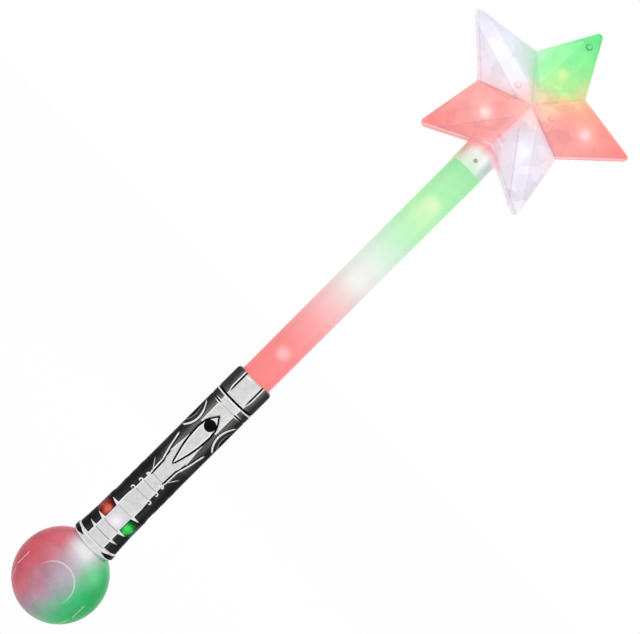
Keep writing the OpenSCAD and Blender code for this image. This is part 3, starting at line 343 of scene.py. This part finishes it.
def tube_finish():
    """Frosted polypropylene tube: a soft milky glow, red at the grip, white in the middle and green at the
    star, with a lamp spot in each length. The colours drift in clouds of 20 mm. Real frost is finer than
    0.1 mm, and is drawn with grains of 0.4 mm so that it shows."""
    tree, shader, place = finish_named("frosted_polypropylene_tube", ["frosted_tube"])
    x, y, z = add(tree, "SeparateXYZ", place)
    cloud = add(tree, "TexNoise", place, sockets={"Scale": 1 / 20, "Detail": 2.0})[0]
    drift = add(tree, "MapRange", cloud, 0, 1, -6, 6)[0]
    height = add(tree, "Math", z, drift, operation="ADD")[0]
    along = add(tree, "MapRange", height, TUBE_LOW, TUBE_HIGH, 0, 1)[0]
    colour = add(tree, "ValToRGB", along, stops=TUBE_LIGHT)[0]
    front = add(tree, "MapRange", y, 3, -4, 0.25, 1, interpolation_type="SMOOTHSTEP")[0]
    flat = add(tree, "CombineXYZ", x, None, z)[0]
    for lamp, out, tint in TUBE_LAMPS:
        colour = coat(tree, colour, tint, spot_near(tree, flat, (0.3, 0, lamp), 0.6, out), front, 0.8)
    # Painted light and shade across the tube: darker on the left side, lighter on the right.
    colour = shaded(tree, colour, add(tree, "MapRange", x, -8, 8, 0.95, 1.05)[0])
    lit_plastic(tree, shader, colour, share=0.7, glow=0.36, roughness=0.45, gloss=0.0)
    frost = add(tree, "TexNoise", place, sockets={"Scale": 1 / 0.4, "Detail": 3.0})[0]
    bump = add(tree, "Bump", 0.08, sockets={"Height": frost, "Distance": 0.1 * MM})[0]
    tree.links.new(bump, shader.inputs["Normal"])


def ball_facets(tree, colour, local, x, z, reach):
    """Facets moulded inside the ball: each ring has its sides, a little lighter or darker, over prism cells
    of 6 mm, with painted highlights as bright lines where the rings meet."""
    turn = add(tree, "Math", z, x, operation="ARCTAN2")[0]
    sector = add(tree, "Math", turn, math.tau / BALL_SIDES, operation="SNAP")[0]
    beyond = add(tree, "Math", reach, FIRST_RING, operation="SUBTRACT")[0]
    ring = add(tree, "Math", beyond, RING_STEP, operation="SNAP")[0]
    cut = add(tree, "TexWhiteNoise", add(tree, "CombineXYZ", sector, ring, None)[0])[0]
    colour = shaded(tree, colour, add(tree, "MapRange", cut, 0, 1, 0.95, 1.05)[0])
    cells = add(tree, "TexVoronoi", local, sockets={"Scale": 1 / 6.25, "Smoothness": 0.5},
                feature="SMOOTH_F1")["Color"]
    cell = add(tree, "SeparateColor", cells)[1]
    colour = shaded(tree, colour, add(tree, "MapRange", cell, 0, 1, 0.92, 1.06)[0])
    # A painted highlight at the edge of the first ring, strongest on the lit side.
    tilt = add(tree, "Math", x, 0.35, z, operation="MULTIPLY_ADD")[0]
    lit_side = add(tree, "MapRange", tilt, -3, 7, 0.0, 0.5, interpolation_type="SMOOTHSTEP")[0]
    colour = coat(tree, colour, "#FBF0F8", stripe(tree, reach, FIRST_RING - 0.3, 0.08, 0.4), lit_side)
    # Painted highlights on two edges of the outermost ring of facets on each side: one straight up, one
    # leaning in below it.
    off = add(tree, "Math", x, operation="ABSOLUTE")[0]
    lean = add(tree, "MapRange", z, -14.5, -7.6, 15, 17.5, clamp=False)[0]
    for line, low, high, strength in ((17.7, -7.4, 1.4, 0.5), (lean, -14.3, -8, 0.3)):
        tall = stripe(tree, z, (low + high) / 2, (high - low) / 2 - 1, 1.4)
        colour = coat(tree, colour, "#FFE9EC", stripe(tree, off, line, 0.06, 0.3), tall, strength)
    return colour


def ball_finish():
    """Clear moulded polystyrene ball, lit from the grip: red on one side, green on the other, lilac grey
    between and white at the neck, blending in clouds of 10 mm, with faint inner facets and 4 mm dimples."""
    tree, shader, place = finish_named("moulded_clear_polystyrene_ball", ["prism_ball"])
    local = add(tree, "VectorMath", place, tuple(-BALL_CENTRE), operation="ADD")[0]
    x, _, z = add(tree, "SeparateXYZ", local)
    flat = add(tree, "CombineXYZ", x, None, z)[0]
    reach = add(tree, "VectorMath", flat, operation="LENGTH")["Value"]
    cloud = add(tree, "TexNoise", local, sockets={"Scale": 1 / 10, "Detail": 3.0})[0]
    drift = add(tree, "MapRange", cloud, 0, 1, -6, 6)[0]
    moved = add(tree, "Math", x, drift, operation="ADD")[0]
    colour = add(tree, "ValToRGB", add(tree, "MapRange", moved, -22, 22, 0, 1)[0], stops=BALL_LIGHT)[0]
    # The disc of inner facets at the middle fades on the side away from the grip.
    disc = add(tree, "MapRange", reach, 8, 10.8, 0.55, 0, interpolation_type="SMOOTHSTEP")[0]
    fade = add(tree, "MapRange", z, -8, 5, 0.2, 1, interpolation_type="SMOOTHSTEP")[0]
    colour = coat(tree, colour, "#A796A5", disc, fade)
    for centre, out, strength, tint in BALL_PATCHES:
        colour = coat(tree, colour, tint, spot_near(tree, local, centre, 0.5, out), strength)
    colour = ball_facets(tree, colour, local, x, z, reach)
    # Painted shade: the ball darker towards its outline as seen from the front.
    rim = add(tree, "MapRange", reach, 19, 22.6, 1, 0.9, interpolation_type="SMOOTHSTEP")[0]
    lit_plastic(tree, shader, shaded(tree, colour, rim), share=0.85, glow=0.2, roughness=0.28, gloss=0.0)
    shader.inputs["Specular IOR Level"].default_value = 0.08
    dimple = add(tree, "TexNoise", local, sockets={"Scale": 1 / 4, "Detail": 1.0})[0]
    bump = add(tree, "Bump", 0.12, sockets={"Height": dimple, "Distance": 0.5 * MM})[0]
    tree.links.new(bump, shader.inputs["Normal"])


def tapered_lines(tree, colour, z, past, heights, half, length, ink):
    """Thin lines across the sides at these heights, half thick where they leave the band and down to
    nothing after length: a point is inside where the half thickness left is more than its distance."""
    left = add(tree, "MapRange", past, 0, length, half, 0)[0]
    outside = add(tree, "MapRange", past, -0.1, 0.05, 0, 1)[0]
    for height in heights:
        rise = add(tree, "Math", z, height, operation="SUBTRACT")[0]
        off = add(tree, "Math", rise, operation="ABSOLUTE")[0]
        spare = add(tree, "Math", left, off, operation="SUBTRACT")[0]
        colour = coat(tree, colour, ink, add(tree, "MapRange", spare, 0, 0.14, 0, 1)[0], outside)
    return colour


def window_finish():
    """Clear moulded acrylic window ring in the grip, framed in black: a ragged red glow on one side, white in
    front and a bright green glow on the other, with painted highlights as white streaks at its ends. The glow
    is ragged in flecks of 3 mm."""
    tree, shader, place = finish_named("moulded_clear_acrylic_window", ["window_clear"])
    x, _, z = add(tree, "SeparateXYZ", place)
    off = add(tree, "Math", x, operation="ABSOLUTE")[0]
    past = add(tree, "Math", off, WINDOW_HALF, operation="SUBTRACT")[0]
    flecks = add(tree, "TexNoise", place, sockets={"Scale": 1 / 2.857, "Detail": 3.0})[0]
    middle = (WINDOW_LOW + WINDOW_HIGH) / 2
    folded = add(tree, "CombineXYZ", off, None, z)[0]
    far = add(tree, "VectorMath", folded, (6.4, 0, middle - 0.8), operation="DISTANCE")["Value"]
    ragged = add(tree, "MapRange", flecks, 0.2, 0.8, -1.7, 1.7)[0]
    glow = add(tree, "MapRange", add(tree, "Math", far, ragged, operation="ADD")[0], 0.4, 5.4, 0, 1)[0]
    red = add(tree, "ValToRGB", glow, stops=RED_GLOW)[0]
    green = add(tree, "ValToRGB", glow, stops=GREEN_GLOW)[0]
    colour = coat(tree, red, green, add(tree, "MapRange", x, -1, 1, 0, 1)[0])
    pale = coat(tree, "#E4DFE7", "#FCFBFF", spot_near(tree, place, (0.4, -10, middle - 1.5), 0.6, 4))
    colour = coat(tree, colour, pale, add(tree, "MapRange", past, 0.0, 0.12, 1, 0)[0])
    colour = coat(tree, colour, "#1A1A1A", stripe(tree, past, 0.28, 0.1, 0.12))
    # Painted highlights: white streaks from the window's ends out across the black sides.
    ends = (WINDOW_LOW + 0.1, WINDOW_HIGH - 0.1)
    colour = tapered_lines(tree, colour, z, past, ends, STREAK_HALF, STREAK_LONG, "#FFFFFF")
    lit_plastic(tree, shader, colour, share=0.9, glow=0.16, roughness=0.2, gloss=0.0)
    shader.inputs["Specular IOR Level"].default_value = 0.04


def width_by_height(tree, z, rows):
    """A half width that changes with height, on straight lines through rows of (height, half width)."""
    share = add(tree, "MapRange", z, GRIP_BASE, GRIP_TOP, 0, 1)[0]
    knots = [((height - GRIP_BASE) / (GRIP_TOP - GRIP_BASE), width / WIDEST) for height, width in rows]
    line = add(tree, "FloatCurve", 1.0, share, points=[knots[0], knots[-1], *knots[1:-1]])[0]
    for knot in line.node.mapping.curves[0].points:
        knot.handle_type = "VECTOR"
    line.node.mapping.update()
    return add(tree, "Math", line, WIDEST, operation="MULTIPLY")[0]


def grip_places(tree, place):
    """Where a point of the grip lies: its x, y and height z, its distance off the middle line, how far it
    is past the border of the silver and past the leaf's edge, and whether it is on the black side and on
    the front."""
    x, y, z = add(tree, "SeparateXYZ", place)
    off = add(tree, "Math", x, operation="ABSOLUTE")[0]
    front = add(tree, "MapRange", y, -1, -2, 0, 1)[0]
    leaf = width_by_height(tree, z, LEAF)
    shown_leaf = add(tree, "Math", leaf, front, operation="MULTIPLY")[0]
    plain_back = add(tree, "MapRange", y, 1, 2, 0, 4.3)[0]
    silver = add(tree, "Math", width_by_height(tree, z, BAND), shown_leaf, operation="MAXIMUM")[0]
    border = add(tree, "Math", silver, plain_back, operation="MAXIMUM")[0]
    past = add(tree, "Math", off, border, operation="SUBTRACT")[0]
    return SimpleNamespace(
        x=x, y=y, z=z, off=off, past=past, front=front,
        side=add(tree, "MapRange", past, -0.06, 0.06, 0, 1)[0],
        past_leaf=add(tree, "Math", off, leaf, operation="SUBTRACT")[0],
        folded=add(tree, "CombineXYZ", off, None, z)[0])


def silver_band(tree, z, mottle):
    """Silver plating: two close greys, with painted shade as a soft dark line in each turned groove."""
    silver = coat(tree, "#DADAD9", "#E5E5E5", add(tree, "MapRange", mottle, 0.3, 0.55, 0, 1)[0])
    for height in (RING, WINDOW_LOW, WINDOW_HIGH, *BEADS):
        silver = coat(tree, silver, "#8E8E8C", stripe(tree, z, height, 0.1, 0.25), 0.6)
    return silver


def black_sides_with_sheen(tree, at, place):
    """Black sides: black at their borders and at the outline, with a painted sheen of satin grey between,
    more so beside the leaf, and painted sheen in streaks 2.4 mm wide that run along the grip, seven times as
    long."""
    beyond = add(tree, "MapRange", at.past, 0, BLACK_SIDE_OUT, 0, 1)[0]
    dark = add(tree, "ValToRGB", beyond, stops=DARK_SIDE_SHEEN)[0]
    satin = add(tree, "ValToRGB", beyond, stops=SATIN_SIDE_SHEEN)[0]
    black = coat(tree, dark, satin, add(tree, "MapRange", at.z, 90, 106, 0, 1)[0])
    drawn_out = add(tree, "VectorMath", place, (1, 1, 0.14), operation="MULTIPLY")[0]
    streaks = add(tree, "TexNoise", drawn_out, sockets={"Scale": 1 / 2.381, "Detail": 3.0})[0]
    return shaded(tree, black, add(tree, "MapRange", streaks, 0.35, 0.65, 0.6, 1.3)[0])


def border_lines(tree, colour, at):
    """Painted highlights as bright edges of the lip and a white edge along the band, and inside it a black
    line of painted shade beside the leaf's foot and on the ferrule, where the white edge makes room for it."""
    for height, half in ((GRIP_LOW + 0.6, 0.3), (GRIP_LOW + 3.3, 0.15)):
        colour = coat(tree, colour, "#F8F8F8", stripe(tree, at.z, height, half, 0.3))
    beside_foot, on_ferrule = stripe(tree, at.z, FOOT_SHADE_LINE, 5, 3.5), stripe(tree, at.z, FERRULE_SHADE_LINE, 4, 4)
    shade_lined = add(tree, "Math", beside_foot, on_ferrule, operation="MAXIMUM")[0]
    room = add(tree, "MapRange", shade_lined, 0, 1, 0, 0.78)[0]
    edge = stripe(tree, add(tree, "Math", at.past, room, operation="SUBTRACT")[0], 0.24, 0.26, 0.1)
    above_lip = add(tree, "MapRange", at.z, LIP_TOP, LIP_TOP + 0.2, 0, 1)[0]
    colour = coat(tree, colour, "#FFFFFF", edge, above_lip)
    return coat(tree, colour, "#0C0C0C", stripe(tree, at.past, 0.2, 0.34, 0.1), shade_lined)


def side_lines(tree, colour, at):
    """Branches and whiskers beside the leaf, and the bowed edges of the finger scallops beside the button: on
    the branches and scallops, white edges and a grey line are painted highlights, the black beside them and
    in the scallops' hollows painted shade. A bow is a parabola of the height off its middle."""
    past_branch = add(tree, "Math", at.off, width_by_height(tree, at.z, BRANCH), operation="SUBTRACT")[0]
    beside_leaf = stripe(tree, at.z, BRANCH_MIDDLE, BRANCH_HALF, 1.6)
    # A painted highlight as a white line along each branch, with a line of painted shade inside it.
    for middle, half, ink in ((-0.68, 0.34, "#060606"), (0, 0.32, "#FFFFFF")):
        colour = coat(tree, colour, ink, stripe(tree, past_branch, middle, half, 0.12), beside_leaf, at.side)
    whisker = add(tree, "MapRange", at.z, WHISKER_FOOT[0], WHISKER_TIP[0], WHISKER_FOOT[1], WHISKER_TIP[1],
                  clamp=False)[0]
    past_whisker = add(tree, "Math", at.off, whisker, operation="SUBTRACT")[0]
    colour = coat(tree, colour, "#D8D8D8", stripe(tree, past_whisker, 0, 0.1, 0.3),
                  stripe(tree, at.z, WHISKER_MIDDLE, 1.4, 1.6), at.side)
    rise = add(tree, "Math", at.z, SCALLOP_MIDDLE, operation="SUBTRACT")[0]
    square = add(tree, "Math", rise, rise, operation="MULTIPLY")[0]
    bow = add(tree, "Math", square, SCALLOP_BOW, SCALLOP_OFF, operation="MULTIPLY_ADD")[0]
    past_bow = add(tree, "Math", at.off, bow, operation="SUBTRACT")[0]
    fore = add(tree, "MapRange", at.y, -0.5, -3.5, 0, 1)[0]
    tall = stripe(tree, rise, 0, SCALLOP_HALF, 0.8)
    beside_button = add(tree, "Math", tall, fore, operation="MULTIPLY")[0]
    # Painted shade as a black line inside the white edge and black in the hollow, and painted highlights as a
    # grey line in it and the white edge.
    for middle, half, soft, ink in ((-0.6, 0.24, 0.16, "#060606"), (2.4, 2.2, 0.2, "#060606"),
                                    (2.2, 0.06, 0.28, "#A8A8A4"), (0, 0.36, 0.16, "#FFFFFF")):
        colour = coat(tree, colour, ink, stripe(tree, past_bow, middle, half, soft), beside_button, at.side)
    return colour


def bead_curls(tree, colour, at):
    """White curls beside the beads, open below, each with a dot in it."""
    for off, height, half, ink in CURLS:
        reach = add(tree, "VectorMath", at.folded, (off, 0, height), operation="DISTANCE")["Value"]
        colour = coat(tree, colour, "#FAFAFA", stripe(tree, reach, CURL_R, 0.24, 0.12),
                      add(tree, "MapRange", at.z, height - 0.8, height - 0.5, 0, 1)[0])
        colour = coat(tree, colour, ink, stripe(tree, reach, 0, half, 0.2))
    return colour


def ring_lines(tree, colour, at):
    """Lines round the grip: painted highlights as white streaks and lines at the rings, painted shade as
    black in the grooves at the top ring and under the ferrule, and dark crescents on the lip, which swell
    towards the outline."""
    for heights, half, length, ink in (
            ((RING, WINDOW_LOW - 0.1, WINDOW_HIGH + 0.1), STREAK_HALF, STREAK_LONG, "#FFFFFF"),
            ((LIP_TOP + 0.3,), 0.5, 6.5, "#FFFFFF"),
            ((TOP_RING - 0.7, TOP_RING + 0.7), 0.4, STREAK_LONG, "#FFFFFF"),
            ((TOP_RING,), 0.42, 4.6, "#060606")):
        colour = tapered_lines(tree, colour, at.z, at.past, heights, half, length, ink)
    colour = coat(tree, colour, "#FFFFFF", stripe(tree, at.z, FERRULE_LOW - 0.85, 0.26, 0.12))
    colour = coat(tree, colour, "#060606", stripe(tree, at.z, FERRULE_LOW, 0.46, 0.14))
    swell = add(tree, "MapRange", at.off, 5.2, 9, 0, 1.25)[0]
    drop = add(tree, "Math", at.z, GRIP_LOW + 2.1, operation="SUBTRACT")[0]
    drop = add(tree, "Math", drop, operation="ABSOLUTE")[0]
    spare = add(tree, "Math", swell, drop, operation="SUBTRACT")[0]
    return coat(tree, colour, "#141414", add(tree, "MapRange", spare, 0, 0.15, 0, 1)[0])


def leaf_lines(tree, colour, at):
    """Painted shade as a black groove round the leaf, and painted highlights as a white edge inside it and a
    white ring round the button.
    """
    tall = add(tree, "Math", stripe(tree, at.z, (LEAF_FOOT + LEAF_TIP) / 2, 15.2, 0.3), at.front,
               operation="MULTIPLY")[0]
    for middle, half, ink in ((-0.72, 0.22, "#FFFFFF"), (0.02, 0.4, "#060606")):
        colour = coat(tree, colour, ink, stripe(tree, at.past_leaf, middle, half, 0.12), tall)
    rim = add(tree, "VectorMath", at.folded, (0, 0, BUTTON), operation="DISTANCE")["Value"]
    return coat(tree, colour, "#FFFFFF", stripe(tree, rim, BUTTON_RING, 0.3, 0.15), at.front,
                add(tree, "MapRange", at.past_leaf, -0.45, -0.3, 1, 0)[0])


def grip_finish():
    """Silver metallised ABS with black sides, and painted highlights and painted shade as white and black
    lines along the borders and grooves, so the turned rings, leaf and scallops stand out. The plating is
    mottled every 2.2 mm."""
    tree, shader, place = finish_named("metallised_abs_grip_with_black_sides", ["metallised_shell"])
    at = grip_places(tree, place)
    mottle = add(tree, "TexNoise", place, sockets={"Scale": 1 / 2.2222, "Detail": 4.0})[0]
    colour = coat(tree, silver_band(tree, at.z, mottle), black_sides_with_sheen(tree, at, place), at.side)
    for draw in (border_lines, side_lines, bead_curls, ring_lines, leaf_lines):
        colour = draw(tree, colour, at)
    # The hollow inside is bare dark plastic.
    reach = add(tree, "VectorMath", add(tree, "CombineXYZ", at.x, at.y, None)[0], operation="LENGTH")["Value"]
    bare = coat(tree, "#2E2E2D", "#454543", mottle)
    colour = coat(tree, colour, bare, add(tree, "MapRange", reach, BORE_R, BORE_R + 0.2, 1, 0)[0])
    tree.links.new(colour, shader.inputs["Base Color"])
    tree.links.new(add(tree, "MapRange", at.side, 0, 1, 0.2, 0.0)[0], shader.inputs["Metallic"])
    shader.inputs["Specular IOR Level"].default_value = 0.015
    tree.links.new(add(tree, "MapRange", mottle, 0, 1, 0.28, 0.4)[0], shader.inputs["Roughness"])
    bump = add(tree, "Bump", 0.1, sockets={"Height": mottle, "Distance": 0.1 * MM})[0]
    tree.links.new(bump, shader.inputs["Normal"])


def plain_finish(name, slots, colour, second, grain, metallic, roughness):
    """A moulded or plated finish: two close tones in grains of that size in mm, with a little bump. Real
    grain is finer than 0.1 mm, and is drawn coarser so that it shows."""
    tree, shader, place = finish_named(name, slots)
    noise = add(tree, "TexNoise", place, sockets={"Scale": 1 / grain, "Detail": 3.0})[0]
    tone = coat(tree, colour, second, noise)
    tree.links.new(tone, shader.inputs["Base Color"])
    shader.inputs["Metallic"].default_value = metallic
    tree.links.new(add(tree, "MapRange", noise, 0, 1, roughness - 0.06, roughness + 0.06)[0],
                   shader.inputs["Roughness"])
    bump = add(tree, "Bump", 0.12, sockets={"Height": noise, "Distance": 0.05 * MM})[0]
    tree.links.new(bump, shader.inputs["Normal"])
    return tree, shader, tone


def neck_finish():
    """Clear moulded polystyrene socket inside the neck: milky, with the end of its locking pin darker."""
    tree, shader, tone = plain_finish("moulded_clear_polystyrene_neck", ["clear_coupler"], "#DCE8E0",
                                      "#EEF2F0", grain=4.0, metallic=0.0, roughness=0.3)
    front = add(tree, "SeparateXYZ", add(tree, "TexCoord")["Object"])[1]
    pin = add(tree, "MapRange", front, -7.8 * MM, -8.2 * MM, 0, 1)[0]
    tree.links.new(coat(tree, tone, "#BCA8A2", pin), shader.inputs["Base Color"])


def button_finish():
    """Black moulded ABS button: deep and nearly dull, so that it shows as a plain black dot."""
    shader = plain_finish("black_moulded_abs_button", ["button_black"], "#020202", "#080808",
                          grain=0.5, metallic=0.0, roughness=0.5)[1]
    shader.inputs["Specular IOR Level"].default_value = 0.06


def lamp_finish(name, slot, colour, heart):
    """Tinted epoxy lens of a lit lamp: glossy, with a glow of its own and paler flecks."""
    tree, shader, tone = plain_finish(name, [slot], colour, heart, grain=1.2, metallic=0.0, roughness=0.18)
    tree.links.new(tone, shader.inputs["Emission Color"])
    shader.inputs["Emission Strength"].default_value = 0.6


def shows_backdrop(tree):
    """1 on rays that show the background: those of the camera, of gloss and of clear plastic."""
    rays = add(tree, "LightPath")
    seen = add(tree, "Math", rays["Is Camera Ray"], rays["Is Glossy Ray"], operation="MAXIMUM")[0]
    return add(tree, "Math", seen, rays["Is Transmission Ray"], operation="MAXIMUM")[0]


def stage():
    """A pale floor under the ball and a surround, both white to the camera, gloss and clear plastic."""
    span = 6.0
    mesh = bpy.data.meshes.new("floor")
    corners = [(-span, -span, 0), (span, -span, 0), (span, span, 0), (-span, span, 0)]
    mesh.from_pydata(corners, [], [(0, 1, 2, 3)])
    floor = bpy.data.objects.new("floor", mesh)
    bpy.context.collection.objects.link(floor)
    material = bpy.data.materials.new("white_floor")
    material.use_nodes = True
    tree = material.node_tree
    shader = tree.nodes["Principled BSDF"]
    shader.inputs["Base Color"].default_value = srgb("#F2F2F2")
    shader.inputs["Roughness"].default_value = 0.8
    share = add(tree, "Math", shows_backdrop(tree), 0.97, operation="MULTIPLY")[0]
    white = add(tree, "Emission", srgb("#FFFFFF"), 1.0)[0]
    mixed = add(tree, "MixShader", share, shader.outputs[0], white)[0]
    tree.links.new(mixed, tree.nodes["Material Output"].inputs["Surface"])
    mesh.materials.append(material)

    world = bpy.data.worlds.new("white_surround")
    bpy.context.scene.world = world
    world.use_nodes = True
    tree = world.node_tree
    backdrop = tree.nodes["Background"]
    backdrop.inputs["Color"].default_value = srgb("#FFFFFF")
    power = add(tree, "MapRange", shows_backdrop(tree), 0, 1, 0.42, 1.0)[0]
    tree.links.new(power, backdrop.inputs["Strength"])


def light(name, place, power):
    """A square soft box of 700 mm at place, in mm, turned towards the wand's middle."""
    lamp = bpy.data.lights.new(name, "AREA")
    lamp.shape, lamp.size, lamp.energy = "SQUARE", 700 * MM, power
    obj = bpy.data.objects.new(name, lamp)
    bpy.context.collection.objects.link(obj)
    obj.location = Vector(place) * MM
    aim = Vector((0, 0, WAND_MIDDLE)) - Vector(place)
    obj.rotation_euler = aim.to_track_quat("-Z", "Y").to_euler()


def camera():
    """The camera, level with the wand's middle and rolled, so that the wand lies across the picture."""
    view = bpy.data.cameras.new("camera")
    view.lens, view.sensor_width = 79.3, 36.0
    obj = bpy.data.objects.new("camera", view)
    bpy.context.collection.objects.link(obj)
    right, up, back = Vector((0.7064, 0, 0.7078)), Vector((-0.7078, 0, 0.7064)), Vector((0, -1, 0))
    place = Matrix.Translation(Vector((0.28, -660, 193.9)) * MM)
    obj.matrix_world = place @ Matrix((right, up, back)).transposed().to_4x4()
    bpy.context.scene.camera = obj


camera()
stage()
light("key_light", (-500, -700, 700), 3.6)
light("fill_light", (650, -500, 250), 1.6)
light("back_light", (100, 700, 600), 3)
bpy.context.scene.view_settings.view_transform = "Standard"

star_finish()
tube_finish()
ball_finish()
window_finish()
grip_finish()
# Zinc plate: a cool grey metal shine.
plain_finish("zinc_plated_steel_screw", ["zinc_screw"], "#8A8C90", "#B4B6BA",
             grain=0.8, metallic=1.0, roughness=0.35)
# Solder mask: an even, half dull skin, white under the lamps and green under the switch.
plain_finish("white_solder_mask", ["white_board"], "#DDE0DC", "#ECEEEA",
             grain=1.5, metallic=0.0, roughness=0.45)
plain_finish("green_solder_mask", ["green_board"], "#145228", "#1E6A36",
             grain=1.5, metallic=0.0, roughness=0.4)
lamp_finish("red_cast_epoxy_lens", "lamp_red", "#FF5A5A", "#FFA0A0")
lamp_finish("white_cast_epoxy_lens", "lamp_white", "#F0F0FF", "#FFFFFF")
lamp_finish("green_cast_epoxy_lens", "lamp_green", "#4CE070", "#A8F8A8")
# PVC: a soft, dull dark red.
plain_finish("red_extruded_pvc", ["lead_cover"], "#A02020", "#B83030",
             grain=0.6, metallic=0.0, roughness=0.5)
# Moulded nylon: dull, with a faint grain.
plain_finish("black_moulded_nylon", ["switch_black"], "#181818", "#242424",
             grain=0.5, metallic=0.0, roughness=0.5)
plain_finish("white_moulded_nylon", ["switch_white"], "#D8D8D4", "#E6E6E2",
             grain=0.5, metallic=0.0, roughness=0.5)
button_finish()
# Nickel plate: a bright, slightly warm metal shine.
plain_finish("nickel_plated_steel", ["cell_steel"], "#B0B2B4", "#CACCCE",
             grain=0.7, metallic=1.0, roughness=0.3)
# Moulded ABS: plain white with a satin surface.
plain_finish("white_moulded_abs", ["white_plug"], "#D8D8D8", "#E4E4E4",
             grain=0.6, metallic=0.0, roughness=0.45)
neck_finish()
